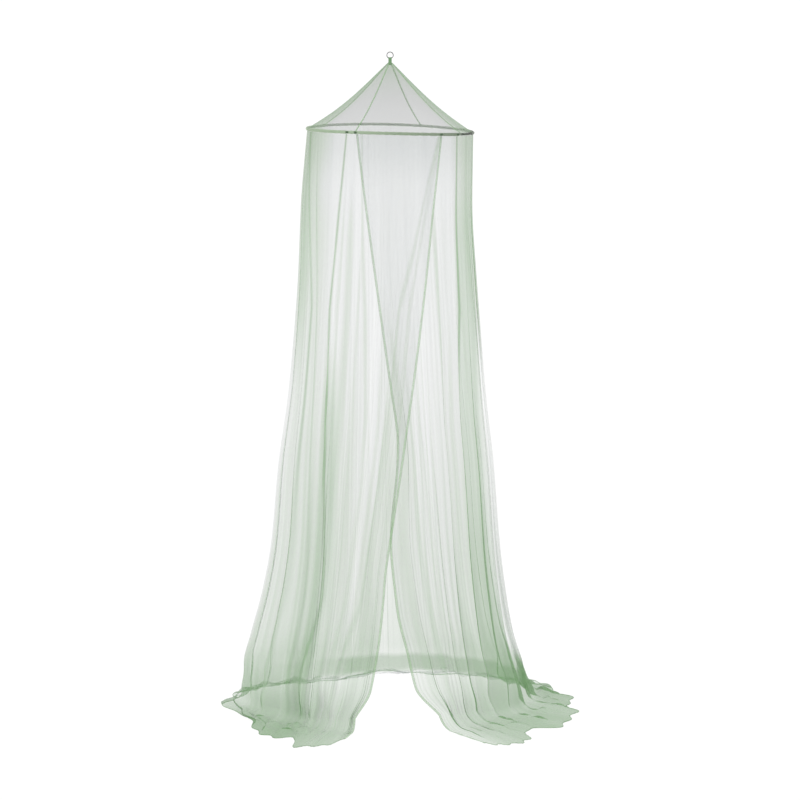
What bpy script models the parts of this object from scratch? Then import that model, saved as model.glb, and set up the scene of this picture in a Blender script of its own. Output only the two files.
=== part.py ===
"""Round mosquito net canopy: a steel hanging ring, a tape loop, a four-gore net roof, a hoop with its
joint in a fabric casing, and two overlapping net panels that hang to the floor and lie on it in trains.

Metres, +Z up. The origin is the hook's seat at the top of the hanging ring. The front is -Y, where the
two panels overlap, and angles round the net are degrees from the front, growing towards +X.
"""

import math

import bmesh
import bpy
import numpy as np
from mathutils import Matrix

# --- driving dimensions ----------------------------------------------------------------------------
RING_OUTER_R = 0.0130  # hanging ring, outside radius
RING_WIRE_R = 0.0015
WIRE_SIDES = 8  # flats round the ring's wire and the hoop's rod
RING_STEPS = 28  # straight runs round the ring
LOOP_WIDTH = 0.012  # tape loop, along the ring's wire
LOOP_THICK = 0.0012
LOOP_BELOW_RING = 0.025  # how far the loop's tail goes down into the roof's tip
LOOP_ROWS = 24  # round the loop
LOOP_COLUMNS = 4  # along the ring's wire
GAP = 0.0003  # left between pieces that are sewn or seated together

TIP_DROP = 0.0370  # from the hook's seat down to the tip of the roof
TIP_R = 0.0080  # the gathered tip round the loop
HOOP_DROP = 0.2790  # from the hook's seat down to the hoop's middle
HOOP_R = 0.3000
HOOP_ROD_R = 0.0030
HOOP_ROLL = math.radians(1.5)  # the hoop hangs with its left side higher
HOOP_BOW = 0.0030  # it is sprung up by this at the front and back, and down at its two sides
JOINT_IN_R = HOOP_ROD_R + GAP  # the dark sleeve that holds the rod's two ends
JOINT_OUT_R = 0.0040
HOOP_STEPS = 56  # straight runs round the hoop
JOINT_FROM_STEP = -5  # the sleeve covers these runs, counted from the right end, towards the front
JOINT_STEPS = 3
JOINT_SIDES = 12  # flats round the sleeve
CASING_IN_R = 0.0045  # fabric channel round the rod
CASING_THICK = 0.0015
CASING_SLIT = math.radians(40)  # its open lips, on the inner side
CASING_SIDES = 9  # flats round the channel
FLOOR_DROP = 2.4080  # from the hook's seat down to the floor

ROOF_THICK = 0.0015
ROOF_SAG = 0.0165  # how far a gore sags in, halfway down
ROOF_SAG_SKEW = 1.1  # over 1 moves the deepest sag down towards the casing
ROOF_COLUMN = 8.0  # degrees that one column of a gore takes
ROOF_ROWS = 6
ROOF_SEAT = math.radians(55)  # where its lower edge is sewn to the casing, inwards from the top
ROOF_SEAMS = (-124.6, -24.6, 59.7, 157.6)  # the four seams, degrees from the front

NET_THICK = 0.0020
FLOOR_GAP = 0.0005
KNEE = 0.050  # height at which the hanging net starts to turn out on the floor
KNEE_INSIDE = 0.25  # share of that height by which the turn starts inside the foot's radius
KNEE_OUTSIDE = 0.5  # share of it by which the turn carries the net out
KNEE_SHARE = 0.3  # share of the train that the turn takes
KNEE_SWEEP = 1.5  # over 1 keeps the turn steep at its start
TRAIN_SWEEP = 1.2  # over 1 keeps the train close to the foot at its start
FOLD_OPENING = 1.1  # over 1 opens the folds late on the way down
HEAP_LEAST = 0.25  # share of a heap's height that is left between two crests
HEAP_FADE = 0.7  # under 1 keeps a heap high until close to the hem
RIPPLES = 2.4  # cross ripples along a train
RIPPLE_SHIFT = 0.37  # how far they move on from one fold to the next
RIPPLE_SHARE = 0.35  # their height, as a share of the heap's
SCALLOP = 0.022  # how far the hem draws in between two folds
TOP_WAVE = 0.10  # share of a fold's depth that is there just under the casing
LAP_TOP = 0.0065  # how far apart the two panels hang in the overlap, at the hoop
LAP_LOW = 0.034  # and halfway down
LAP_FROM_FOLD = 4.0  # the two come together again between these folds from the free edge
LAP_TO_FOLD = 6.0
COLUMNS_PER_FOLD = 6
SEAM_HALF = 0.0004  # half of the gap along the back seam

# How much of the way from the hoop's radius to the foot's radius the net has flared out, by the share
# of the drop, on the left and on the right side.
FLARE = (
    # drop, left, right
    (0.00, 0.000, 0.000),
    (0.05, 0.040, -0.010),
    (0.12, 0.090, -0.020),
    (0.25, 0.135, 0.050),
    (0.39, 0.225, 0.160),
    (0.47, 0.295, 0.230),
    (0.59, 0.440, 0.355),
    (0.73, 0.550, 0.455),
    (0.82, 0.695, 0.560),
    (0.89, 0.860, 0.680),
    (0.95, 0.985, 0.860),
    (1.00, 1.000, 1.000),
)

# One row for each main fold's crest, from the panel's free edge round to the back seam. Angles in
# degrees where the crest leaves the hoop, halfway down, at the foot and at the hem; the foot's and the
# hem's distance from the axis; the fold's depth at the foot; and the height of the heap on the floor.
LEFT_FOLDS = (
    # top, mid, foot, foot_r, hem, hem_r, depth, heap
    (38.0, 10.5, -15.0, 0.465, -16.0, 0.584, 0.004, 0.006),
    (24.0, 3.0, -18.0, 0.470, -18.0, 0.690, 0.009, 0.016),
    (9.0, -5.0, -23.0, 0.475, -21.5, 0.745, 0.012, 0.026),
    (-7.0, -14.0, -28.0, 0.480, -25.6, 0.768, 0.014, 0.030),
    (-21.0, -27.0, -33.5, 0.485, -30.5, 0.685, 0.015, 0.032),
    (-33.0, -39.5, -40.0, 0.490, -36.5, 0.668, 0.020, 0.036),
    (-46.0, -51.0, -50.0, 0.500, -43.0, 0.690, 0.017, 0.030),
    (-59.0, -62.0, -62.0, 0.515, -53.0, 0.615, 0.019, 0.034),
    (-72.0, -74.0, -76.0, 0.535, -70.0, 0.575, 0.014, 0.024),
    (-86.0, -88.0, -91.0, 0.548, -91.0, 0.628, 0.016, 0.030),
    (-101.0, -103.0, -107.0, 0.540, -107.0, 0.612, 0.019, 0.036),
    (-116.0, -118.0, -121.0, 0.515, -121.0, 0.600, 0.017, 0.030),
    (-131.0, -132.0, -134.0, 0.480, -134.0, 0.545, 0.019, 0.034),
    (-145.0, -146.0, -147.0, 0.450, -147.0, 0.500, 0.014, 0.026),
    (-159.3, -159.5, -160.0, 0.440, -160.0, 0.492, 0.008, 0.012),
)
RIGHT_FOLDS = (
    # top, mid, foot, foot_r, hem, hem_r, depth, heap
    (-24.0, 3.6, 23.5, 0.465, 28.0, 0.705, 0.004, 0.006),
    (-14.0, 8.5, 29.5, 0.468, 29.5, 0.765, 0.010, 0.020),
    (3.0, 14.5, 32.5, 0.470, 32.5, 0.780, 0.013, 0.028),
    (18.0, 23.5, 36.5, 0.474, 36.6, 0.792, 0.012, 0.026),
    (33.0, 33.5, 42.0, 0.478, 41.5, 0.748, 0.017, 0.034),
    (48.0, 45.0, 50.0, 0.486, 50.0, 0.640, 0.020, 0.036),
    (60.0, 56.5, 60.0, 0.498, 58.5, 0.742, 0.020, 0.038),
    (73.0, 70.5, 71.5, 0.510, 69.0, 0.700, 0.015, 0.030),
    (86.0, 84.0, 83.5, 0.522, 81.0, 0.706, 0.017, 0.036),
    (99.0, 96.5, 94.5, 0.528, 91.5, 0.668, 0.015, 0.030),
    (112.0, 108.5, 105.0, 0.530, 102.0, 0.700, 0.020, 0.042),
    (125.0, 120.5, 116.5, 0.530, 115.0, 0.675, 0.017, 0.046),
    (138.0, 133.0, 129.0, 0.526, 128.0, 0.690, 0.020, 0.042),
    (151.0, 146.0, 141.5, 0.518, 141.0, 0.650, 0.015, 0.034),
    (164.0, 159.5, 155.0, 0.506, 155.0, 0.610, 0.018, 0.030),
    (177.0, 173.5, 169.5, 0.492, 169.5, 0.590, 0.015, 0.022),
    (189.5, 187.5, 184.5, 0.470, 182.0, 0.640, 0.013, 0.016),
    (200.7, 200.5, 200.0, 0.440, 200.0, 0.492, 0.008, 0.012),
)

# How far each free edge strays from its own straight run, in degrees, by the share of the drop. It
# fades out over the folds next to the edge.
LEFT_EDGE_SWAY = (
    # drop, stray
    (0.00, 0.0),
    (0.50, 0.0),
    (0.73, 0.4),
    (0.82, 2.6),
    (0.89, 4.0),
    (0.95, 4.4),
    (1.00, 0.0),
)
RIGHT_EDGE_SWAY = (
    # drop, stray
    (0.00, 0.0),
    (0.50, 0.0),
    (0.73, -12.5),
    (0.82, -12.9),
    (0.89, -10.8),
    (0.95, -9.5),
    (1.00, 0.0),
)
SWAY_FOLDS = 1.6

# Shares of the drop at which the hanging part has its cross rows, and of the train at which it has more.
HANG_ROWS = (0.0, 0.035, 0.11, 0.21, 0.33, 0.46, 0.59, 0.71, 0.82, 0.91, 1.0)
TRAIN_ROWS = (0.12, 0.26, 0.46, 0.72, 1.0)


# --- small helpers ---------------------------------------------------------------------------------
def curve_through(places, values, at):
    """A smooth line through a table's points, read at the given places, without overshoot."""
    places = np.asarray(places, float)
    values = np.asarray(values, float)
    rise = np.diff(values) / np.diff(places)
    slope = np.zeros(len(values))
    level = rise[:-1] * rise[1:] <= 0
    slope[1:-1] = np.where(level, 0.0, 2 * rise[:-1] * rise[1:] / np.where(level, 1.0, rise[:-1] + rise[1:]))
    slope[0], slope[-1] = rise[0], rise[-1]
    at = np.clip(at, places[0], places[-1])
    k = np.clip(np.searchsorted(places, at, side="right") - 1, 0, len(rise) - 1)
    step = places[k + 1] - places[k]
    t = (at - places[k]) / step
    t2, t3 = t * t, t * t * t
    return (
        (2 * t3 - 3 * t2 + 1) * values[k]
        + (t3 - 2 * t2 + t) * step * slope[k]
        + (3 * t2 - 2 * t3) * values[k + 1]
        + (t3 - t2) * step * slope[k + 1]
    )


def soft_step(low, high, at):
    """0 below low, 1 above high, and an even turn between."""
    t = np.clip((at - low) / (high - low), 0.0, 1.0)
    return t * t * (3 - 2 * t)


def hoop_height(degrees, radius):
    """Height of the rolled and sprung hoop at this angle, carried on to this distance from the axis."""
    turn = np.radians(degrees)
    return -HOOP_DROP - np.sin(turn) * radius * math.tan(HOOP_ROLL) + HOOP_BOW * np.cos(2 * turn)


def material(name, colour, roughness, metallic=0.0, alpha=1.0):
    """A Principled material in one colour."""
    made = bpy.data.materials.new(name)
    made.use_nodes = True
    made.diffuse_color = (*colour, 1.0)
    shader = made.node_tree.nodes["Principled BSDF"]
    shader.inputs["Base Color"].default_value = (*colour, 1.0)
    shader.inputs["Roughness"].default_value = roughness
    shader.inputs["Metallic"].default_value = metallic
    shader.inputs["Alpha"].default_value = alpha
    return made


def add_object(name, shape, finish, smooth=True):
    """Turns a finished bmesh into a named object with its own material."""
    mesh = bpy.data.meshes.new(name)
    shape.to_mesh(mesh)
    shape.free()
    if smooth:
        mesh.shade_smooth()
    mesh.materials.append(finish)
    made = bpy.data.objects.new(name, mesh)
    bpy.context.scene.collection.objects.link(made)
    return made


def thicken(made, thickness, offset=0.0):
    """Gives a sheet its thickness, on both sides of its surface or on one."""
    modifier = made.modifiers.new("cloth thickness", "SOLIDIFY")
    modifier.thickness = thickness
    modifier.offset = offset
    modifier.use_even_offset = False
    modifier.use_quality_normals = True


def sheet_grid(across, down, place):
    """A grid of squares whose points place(u, v) moves, for arrays u and v that run from 0 to 1."""
    shape = bmesh.new()
    bmesh.ops.create_grid(shape, x_segments=across, y_segments=down, size=0.5)
    u = np.array([vert.co.x + 0.5 for vert in shape.verts])
    v = np.array([vert.co.y + 0.5 for vert in shape.verts])
    for vert, point in zip(shape.verts, place(u, v)):
        vert.co = point
    return shape


def turned_ring(ring_r, section, around):
    """A closed section, given as (outwards, up) points, turned once round the Z axis."""
    shape = bmesh.new()
    corners = [shape.verts.new((ring_r + out, 0.0, up)) for out, up in section]
    edges = [shape.edges.new((a, b)) for a, b in zip(corners, corners[1:] + corners[:1])]
    bmesh.ops.spin(
        shape,
        geom=corners + edges,
        cent=(0, 0, 0),
        axis=(0, 0, 1),
        angle=2 * math.pi,
        steps=around,
        use_merge=True,
        use_duplicate=False,
    )
    bmesh.ops.remove_doubles(shape, verts=shape.verts, dist=1e-6)
    bmesh.ops.recalc_face_normals(shape, faces=shape.faces)
    return shape


def round_section(radius, sides):
    """The (outwards, up) points of a round section."""
    turns = [2 * math.pi * k / sides for k in range(sides)]
    return [(radius * math.cos(turn), radius * math.sin(turn)) for turn in turns]


# --- the ring and the tape loop at the top ---------------------------------------------------------
def build_hang_ring(finish):
    """The steel ring, standing in the plane that faces the front, its inner top at the origin."""
    shape = turned_ring(RING_OUTER_R - RING_WIRE_R, round_section(RING_WIRE_R, WIRE_SIDES), RING_STEPS)
    middle = -(RING_OUTER_R - 2 * RING_WIRE_R)
    bmesh.ops.transform(
        shape,
        matrix=Matrix.Translation((0, 0, middle)) @ Matrix.Rotation(math.radians(90), 4, "X"),
        verts=shape.verts,
    )
    return add_object("hang_ring", shape, finish)


def build_apex_loop(finish):
    """A tape that goes over the ring's lowest wire and down both its sides into the roof's tip."""
    wire_bend = RING_OUTER_R - RING_WIRE_R
    wire_drop = 2 * wire_bend - 1.5 * RING_WIRE_R  # to the lowest wire's middle
    bow = RING_WIRE_R + GAP
    length = LOOP_BELOW_RING - bow

    def place(u, v):
        turn = 2 * math.pi * u
        over = np.cos(turn) > 0
        y = bow * np.sin(turn)
        z = np.where(over, bow * np.cos(turn), length * np.cos(turn))
        x = LOOP_WIDTH * (v - 0.5)
        saddle = wire_bend - np.sqrt(wire_bend**2 - x**2)
        near = soft_step(-2 * bow, 0.0, z)
        return np.stack([x, y, z - wire_drop + saddle * near], axis=1)

    shape = sheet_grid(LOOP_ROWS, LOOP_COLUMNS, place)
    bmesh.ops.remove_doubles(shape, verts=shape.verts, dist=1e-6)
    bmesh.ops.recalc_face_normals(shape, faces=shape.faces)
    made = add_object("apex_loop", shape, finish)
    thicken(made, LOOP_THICK, 1.0)
    return made


# --- the roof --------------------------------------------------------------------------------------
def build_gore(name, start, end, finish):
    """One gore of the roof, from the tip to just over the casing, between two seams."""
    reach = CASING_IN_R + CASING_THICK + GAP + ROOF_THICK / 2
    foot_r = HOOP_R - reach * math.sin(ROOF_SEAT)
    foot_lift = reach * math.cos(ROOF_SEAT)

    def place(u, v):
        radius = TIP_R + (foot_r - TIP_R) * v
        side = np.degrees((GAP + SEAM_HALF) / 2 / radius)
        angle = start + side + (end - start - 2 * side) * u
        low = hoop_height(angle, foot_r) + foot_lift
        height = -TIP_DROP + (low + TIP_DROP) * v - ROOF_SAG * np.sin(math.pi * v**ROOF_SAG_SKEW)
        turn = np.radians(angle)
        return np.stack([radius * np.sin(turn), -radius * np.cos(turn), height], axis=1)

    shape = sheet_grid(round((end - start) / ROOF_COLUMN), ROOF_ROWS, place)
    bmesh.ops.recalc_face_normals(shape, faces=shape.faces)
    made = add_object(name, shape, finish)
    thicken(made, ROOF_THICK)
    return made


# --- the hoop and its casing -----------------------------------------------------------------------
def hang_on_hoop(shape):
    """Moves a ring made round the origin to the hoop's place and roll, and springs it."""
    turn = Matrix.Rotation(HOOP_ROLL, 4, "Y")
    bmesh.ops.transform(shape, matrix=Matrix.Translation((0, 0, -HOOP_DROP)) @ turn, verts=shape.verts)
    for vert in shape.verts:
        vert.co.z += HOOP_BOW * math.cos(2 * math.atan2(vert.co.x, -vert.co.y))


def build_hoop(finish):
    """The round rod that spreads the net."""
    shape = turned_ring(HOOP_R, round_section(HOOP_ROD_R, WIRE_SIDES), HOOP_STEPS)
    hang_on_hoop(shape)
    return add_object("hoop", shape, finish)


def build_joint(finish):
    """The short sleeve over the rod's two ends, on the right of the front."""
    run = 2 * math.pi / HOOP_STEPS
    shape = bmesh.new()
    outer, inner = (
        [shape.verts.new((HOOP_R + out, 0.0, up)) for out, up in round_section(radius, JOINT_SIDES)]
        for radius in (JOINT_OUT_R, JOINT_IN_R)
    )
    for k, corner in enumerate(outer):
        after = (k + 1) % len(outer)
        shape.faces.new((corner, outer[after], inner[after], inner[k]))
    end = shape.faces[:]
    cap = bmesh.ops.duplicate(shape, geom=end)["geom"]
    start = Matrix.Rotation(JOINT_FROM_STEP * run, 3, "Z")
    bmesh.ops.rotate(shape, verts=shape.verts, cent=(0, 0, 0), matrix=start)
    bmesh.ops.spin(
        shape,
        geom=[piece for piece in cap if isinstance(piece, bmesh.types.BMFace)],
        cent=(0, 0, 0),
        axis=(0, 0, 1),
        angle=JOINT_STEPS * run,
        steps=JOINT_STEPS,
        use_duplicate=False,
    )
    bmesh.ops.remove_doubles(shape, verts=shape.verts, dist=1e-6)
    bmesh.ops.recalc_face_normals(shape, faces=shape.faces)
    hang_on_hoop(shape)
    return add_object("hoop_joint", shape, finish)


def build_casing(finish):
    """The fabric channel round the rod, open along its inner side where its lips meet the roof."""
    inner, outer = CASING_IN_R, CASING_IN_R + CASING_THICK
    first = math.pi + CASING_SLIT / 2
    sweep = 2 * math.pi - CASING_SLIT
    turns = [first + sweep * k / CASING_SIDES for k in range(CASING_SIDES + 1)]
    section = [(outer * math.cos(t), outer * math.sin(t)) for t in turns]
    section += [(inner * math.cos(t), inner * math.sin(t)) for t in reversed(turns)]
    shape = turned_ring(HOOP_R, section, HOOP_STEPS)
    hang_on_hoop(shape)
    return add_object("hoop_casing", shape, finish)


# --- the two hanging panels ------------------------------------------------------------------------
def panel_place(folds, sway, side):
    """place(u, v) of a panel: u runs from its free edge to the back seam, and v from hoop to hem.

    side is +1 for the panel that lies outside in the overlap and -1 for the one inside.
    """
    table = np.array(folds)
    rows = np.arange(len(folds))
    sway = np.array(sway)
    flare = np.array(FLARE)
    top_z = -(CASING_IN_R + CASING_THICK + GAP)

    def place(u, v):
        fold = u * (len(folds) - 1)
        top, mid, foot, foot_r, hem, hem_r, depth, heap = (
            curve_through(rows, column, fold) for column in table.T
        )
        drop = np.clip(v * 2, 0, 1)  # down the hanging part
        out = np.clip(v * 2 - 1, 0, 1)  # out along the train

        # Round the axis: the crest lines lean from the hoop to the foot, and turn on to the hem.
        angle = np.where(
            drop < 0.5,
            top + (mid - top) * 2 * drop,
            mid + (foot - mid) * (2 * drop - 1),
        )
        angle = angle + curve_through(sway[:, 0], sway[:, 1], drop) * np.exp(-((fold / SWAY_FOLDS) ** 2))
        angle = angle + (hem - foot) * out

        # Out from the axis and down: a line that flares to the foot, bends and runs out on the floor.
        turn = np.radians(angle)
        leftness = 0.5 - 0.5 * np.sin(turn)
        open_left = curve_through(flare[:, 0], flare[:, 1], drop)
        open_right = curve_through(flare[:, 0], flare[:, 2], drop)
        flared = open_left * leftness + open_right * (1 - leftness)
        knee_r = foot_r - KNEE_INSIDE * KNEE
        radius = HOOP_R + (knee_r - HOOP_R) * flared
        start = hoop_height(angle, HOOP_R) + top_z
        floor = -FLOOR_DROP + FLOOR_GAP + NET_THICK / 2
        height = start + (floor + KNEE - start) * drop
        bend = np.clip(out / KNEE_SHARE, 0, 1)
        turned_out = KNEE_OUTSIDE * KNEE
        radius = radius + turned_out * bend**KNEE_SWEEP + (hem_r - knee_r - turned_out) * out**TRAIN_SWEEP
        height = height - KNEE * (1 - (1 - bend) ** 2)

        # The folds: in and out while they hang, up from the floor where they lie.
        wave = 0.5 * (1 + np.cos(2 * math.pi * fold))
        swing = (TOP_WAVE + (1 - TOP_WAVE) * drop**FOLD_OPENING) * (1 - bend)
        radius = radius + depth * (2 * wave - 1) * swing
        lying = bend * (1 - out) ** HEAP_FADE
        height = height + heap * (HEAP_LEAST + (1 - HEAP_LEAST) * wave) * lying
        cross = math.pi * (RIPPLES * out + RIPPLE_SHIFT * np.floor(fold + 0.5))
        height = height + RIPPLE_SHARE * heap * np.sin(cross) ** 2 * (1 - out) * bend
        radius = radius - SCALLOP * (1 - wave) * out

        # The overlap: the outside panel stands off the inside one.
        lap = 1 - soft_step(LAP_FROM_FOLD, LAP_TO_FOLD, fold)
        apart = LAP_TOP + (LAP_LOW - LAP_TOP) * soft_step(0.0, 0.5, drop)
        radius = radius + side * 0.5 * apart * lap * (1 - bend)

        seam = np.degrees(SEAM_HALF / radius) * soft_step(len(folds) - 2, len(folds) - 1, fold)
        turn = np.radians(angle + side * seam)
        return np.stack([radius * np.sin(turn), -radius * np.cos(turn), height], axis=1)

    return place


def build_panel(name, folds, sway, side, finish):
    """One net panel, from its free front edge to the back seam."""
    place = panel_place(folds, sway, side)
    lines = [0.5 * share for share in HANG_ROWS] + [0.5 + 0.5 * share for share in TRAIN_ROWS]

    def place_rows(u, v):
        return place(u, np.interp(v, np.linspace(0, 1, len(lines)), lines))

    shape = sheet_grid(COLUMNS_PER_FOLD * (len(folds) - 1), len(lines) - 1, place_rows)
    bmesh.ops.recalc_face_normals(shape, faces=shape.faces)
    made = add_object(name, shape, finish)
    thicken(made, NET_THICK)
    return made


# --- the whole canopy ------------------------------------------------------------------------------
def main():
    """Clears the scene and builds every piece."""
    for old in list(bpy.data.objects):
        bpy.data.objects.remove(old, do_unlink=True)
    steel = material("steel ring", (0.55, 0.56, 0.57), 0.3, metallic=1.0)
    rod = material("zinc-plated rod", (0.50, 0.51, 0.52), 0.45, metallic=1.0)
    sleeve = material("dark joint sleeve", (0.015, 0.018, 0.016), 0.45)
    tape = material("green tape", (0.20, 0.33, 0.20), 0.8)
    casing = material("green casing cloth", (0.33, 0.46, 0.32), 0.8)
    net = material("mint net", (0.62, 0.74, 0.61), 0.85, alpha=0.5)
    build_hang_ring(steel)
    build_apex_loop(tape)
    for k, start in enumerate(ROOF_SEAMS):
        end = ROOF_SEAMS[k + 1] if k + 1 < len(ROOF_SEAMS) else ROOF_SEAMS[0] + 360
        build_gore(f"roof_gore_{k + 1}", start, end, net)
    build_casing(casing)
    build_hoop(rod)
    build_joint(sleeve)
    build_panel("panel_left", LEFT_FOLDS, LEFT_EDGE_SWAY, 1, net)
    build_panel("panel_right", RIGHT_FOLDS, RIGHT_EDGE_SWAY, -1, net)


main()
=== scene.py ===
"""Looks of a round mosquito net canopy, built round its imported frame.

A steel ring and a tape loop carry a cone roof of four gores. A sprung hoop lies in a fabric casing under
it, and two sheer net panels hang from the casing, overlap at the front, part near the floor and lie on it
in trains. Metres, +Z up, the front is -Y. Angles round the net are degrees from the front, growing
towards +X, and the origin is the hook's seat at the top of the ring.
"""

from __future__ import annotations

import logging
import math
import sys
from collections.abc import Callable
from dataclasses import dataclass, field
from enum import Enum

import bmesh
import bpy
import numpy as np
from mathutils import Matrix, Vector


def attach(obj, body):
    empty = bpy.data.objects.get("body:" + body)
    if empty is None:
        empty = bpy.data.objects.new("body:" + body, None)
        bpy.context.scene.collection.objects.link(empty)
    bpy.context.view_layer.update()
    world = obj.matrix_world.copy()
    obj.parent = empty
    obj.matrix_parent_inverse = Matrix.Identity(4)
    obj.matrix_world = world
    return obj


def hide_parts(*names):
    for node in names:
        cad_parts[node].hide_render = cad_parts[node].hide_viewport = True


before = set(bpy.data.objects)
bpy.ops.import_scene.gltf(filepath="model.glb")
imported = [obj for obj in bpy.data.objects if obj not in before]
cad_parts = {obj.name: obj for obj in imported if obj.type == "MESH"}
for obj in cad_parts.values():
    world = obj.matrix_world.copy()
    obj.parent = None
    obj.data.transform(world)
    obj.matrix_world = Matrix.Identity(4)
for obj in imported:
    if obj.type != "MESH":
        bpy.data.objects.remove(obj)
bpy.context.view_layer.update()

log = logging.getLogger("canopy")

Colour = tuple[float, float, float]
Socket = bpy.types.NodeSocket

FULL_TURN = 2 * math.pi
FLOOR = -2.4080


class Side(Enum):
    """Which way a panel lies in the front overlap: outside the other one, or inside it."""

    OUTSIDE = 1
    INSIDE = -1


# --- finishes --------------------------------------------------------------------------------------
class NodeLook:
    """A node material in the making, with short ways to the nodes that the finishes share."""

    def __init__(self, name: str, fixed: dict[str, float | tuple]) -> None:
        """Starts from a Principled shader.

        Args:
            name: The material's name.
            fixed: What the shader's own inputs hold all over the surface, by their names.
        """
        self.made = bpy.data.materials.new(name)
        self.made.use_nodes = True
        self.nodes = self.made.node_tree.nodes
        self.links = self.made.node_tree.links
        self.shader = self.nodes["Principled BSDF"]
        for word, value in fixed.items():
            self.shader.inputs[word].default_value = value

    def into(self, socket: Socket, word: str) -> None:
        """Leads a socket into the shader's input of this name."""
        self.links.new(socket, self.shader.inputs[word])

    def attribute(self, word: str) -> Socket:
        """A value that the mesh holds at each point."""
        node = self.nodes.new("ShaderNodeAttribute")
        node.attribute_name = word
        return node.outputs["Fac"]

    def cloth_map(self) -> Socket:
        """The place on the flat cloth, in metres."""
        node = self.nodes.new("ShaderNodeUVMap")
        node.uv_map = "cloth"
        return node.outputs["UV"]

    def place(self) -> Socket:
        """The place on the object, in metres."""
        return self.nodes.new("ShaderNodeTexCoord").outputs["Object"]

    def noise(self, where: Socket, scale: float, detail: float) -> Socket:
        """Makes cloudy noise.

        Args:
            where: The coordinates.
            scale: How fine it is, for each metre.
            detail: How many finer layers it has.

        Returns:
            The noise from 0 to 1.
        """
        node = self.nodes.new("ShaderNodeTexNoise")
        node.inputs["Scale"].default_value = scale
        node.inputs["Detail"].default_value = detail
        self.links.new(where, node.inputs["Vector"])
        return node.outputs["Fac"]

    def cells(self, where: Socket, scale: float, uneven: float = 1.0, measure: str = "F1") -> Socket:
        """Makes a pattern of cells, such as a weave's.

        Args:
            where: The coordinates.
            scale: How many cells lie in a metre.
            uneven: From 0, an even grid, to 1.
            measure: What is measured in a cell, as Blender names it.

        Returns:
            The distance in the cell.
        """
        node = self.nodes.new("ShaderNodeTexVoronoi")
        node.feature = measure
        node.inputs["Scale"].default_value = scale
        node.inputs["Randomness"].default_value = uneven
        self.links.new(where, node.inputs["Vector"])
        return node.outputs["Distance"]

    def added(self, first: Socket, second: Socket) -> Socket:
        """Adds two sockets.

        Args:
            first: One socket.
            second: The other socket.

        Returns:
            The sum, held from 0 to 1.
        """
        node = self.nodes.new("ShaderNodeMath")
        node.operation = "ADD"
        node.use_clamp = True
        self.links.new(first, node.inputs[0])
        self.links.new(second, node.inputs[1])
        return node.outputs["Value"]

    def ranged(self, value: Socket, given: tuple, taken: tuple = (0.0, 1.0)) -> Socket:
        """Maps a socket's range to another range.

        Args:
            value: The socket.
            given: The range that it goes out in.
            taken: The range that it comes in.

        Returns:
            The mapped socket.
        """
        node = self.nodes.new("ShaderNodeMapRange")
        node.inputs["From Min"].default_value, node.inputs["From Max"].default_value = taken
        node.inputs["To Min"].default_value, node.inputs["To Max"].default_value = given
        self.links.new(value, node.inputs["Value"])
        return node.outputs["Result"]

    def mixed(self, factor: Socket, first: Colour | Socket, second: Colour) -> Socket:
        """Mixes two colours.

        Args:
            factor: 0 gives the first and 1 the second.
            first: A colour, or the socket of one.
            second: A colour.

        Returns:
            The mixed colour.
        """
        node = self.nodes.new("ShaderNodeMix")
        node.data_type = "RGBA"
        self.links.new(factor, node.inputs["Factor"])
        if isinstance(first, tuple):
            node.inputs["A"].default_value = (*first, 1.0)
        else:
            self.links.new(first, node.inputs["A"])
        node.inputs["B"].default_value = (*second, 1.0)
        return node.outputs["Result"]


def shade_of(colour: Colour, share: float) -> Colour:
    """The same colour, darker by this share."""
    return tuple(share * part for part in colour)


@dataclass(frozen=True)
class NetFinish:
    """Sheer warp-knitted net: nearly neutral where one layer faces out, greener where it bunches."""

    name: str
    open_colour: Colour = (0.19, 0.23, 0.23)
    middle_colour: Colour = (0.13, 0.235, 0.105)
    dense_colour: Colour = (0.165, 0.31, 0.14)
    middle: float = 0.4
    open_cover: float = 0.11
    dense_cover: float = 0.31
    mesh_pitch: float = 0.0022
    mesh_uneven: float = 0.15
    thread_to_hole: tuple = (0.05, 0.35)
    thread_cover: float = 0.05
    hole_cover: float = -0.04
    patch_scale: float = 7.0
    patch_detail: float = 3.0
    patch_tint: float = 0.08
    patch_rough: float = 0.08
    roughness: float = 0.85
    specular: float = 0.2
    sheen: float = 0.12
    sheen_roughness: float = 0.6

    def build(self) -> bpy.types.Material:
        """Makes the material. It reads the sheet's UV map in metres, its cover and where it turns back.

        Returns:
            The net material.
        """
        fixed = {
            "Specular IOR Level": self.specular,
            "Sheen Weight": self.sheen,
            "Sheen Roughness": self.sheen_roughness,
        }
        look = NodeLook(self.name, fixed)
        cover = look.attribute("cover")
        cloth = look.cloth_map()
        threads = look.cells(cloth, 1.0 / self.mesh_pitch, self.mesh_uneven, "DISTANCE_TO_EDGE")
        hole = look.ranged(threads, (self.thread_cover, self.hole_cover), self.thread_to_hole)
        look.into(look.added(cover, hole), "Alpha")
        patches = look.noise(cloth, self.patch_scale, self.patch_detail)
        dense = look.ranged(cover, (0.0, 1.0), (self.open_cover, self.dense_cover))
        patch = look.ranged(patches, (-self.patch_tint, self.patch_tint))
        tint = look.nodes.new("ShaderNodeValToRGB")
        tint.color_ramp.elements[0].color = (*self.open_colour, 1.0)
        tint.color_ramp.elements[1].color = (*self.dense_colour, 1.0)
        tint.color_ramp.elements.new(self.middle).color = (*self.middle_colour, 1.0)
        look.links.new(look.added(look.added(dense, look.attribute("turned")), patch), tint.inputs["Fac"])
        look.into(tint.outputs["Color"], "Base Color")
        rough = (self.roughness - self.patch_rough, self.roughness + self.patch_rough)
        look.into(look.ranged(patches, rough), "Roughness")
        return look.made


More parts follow.
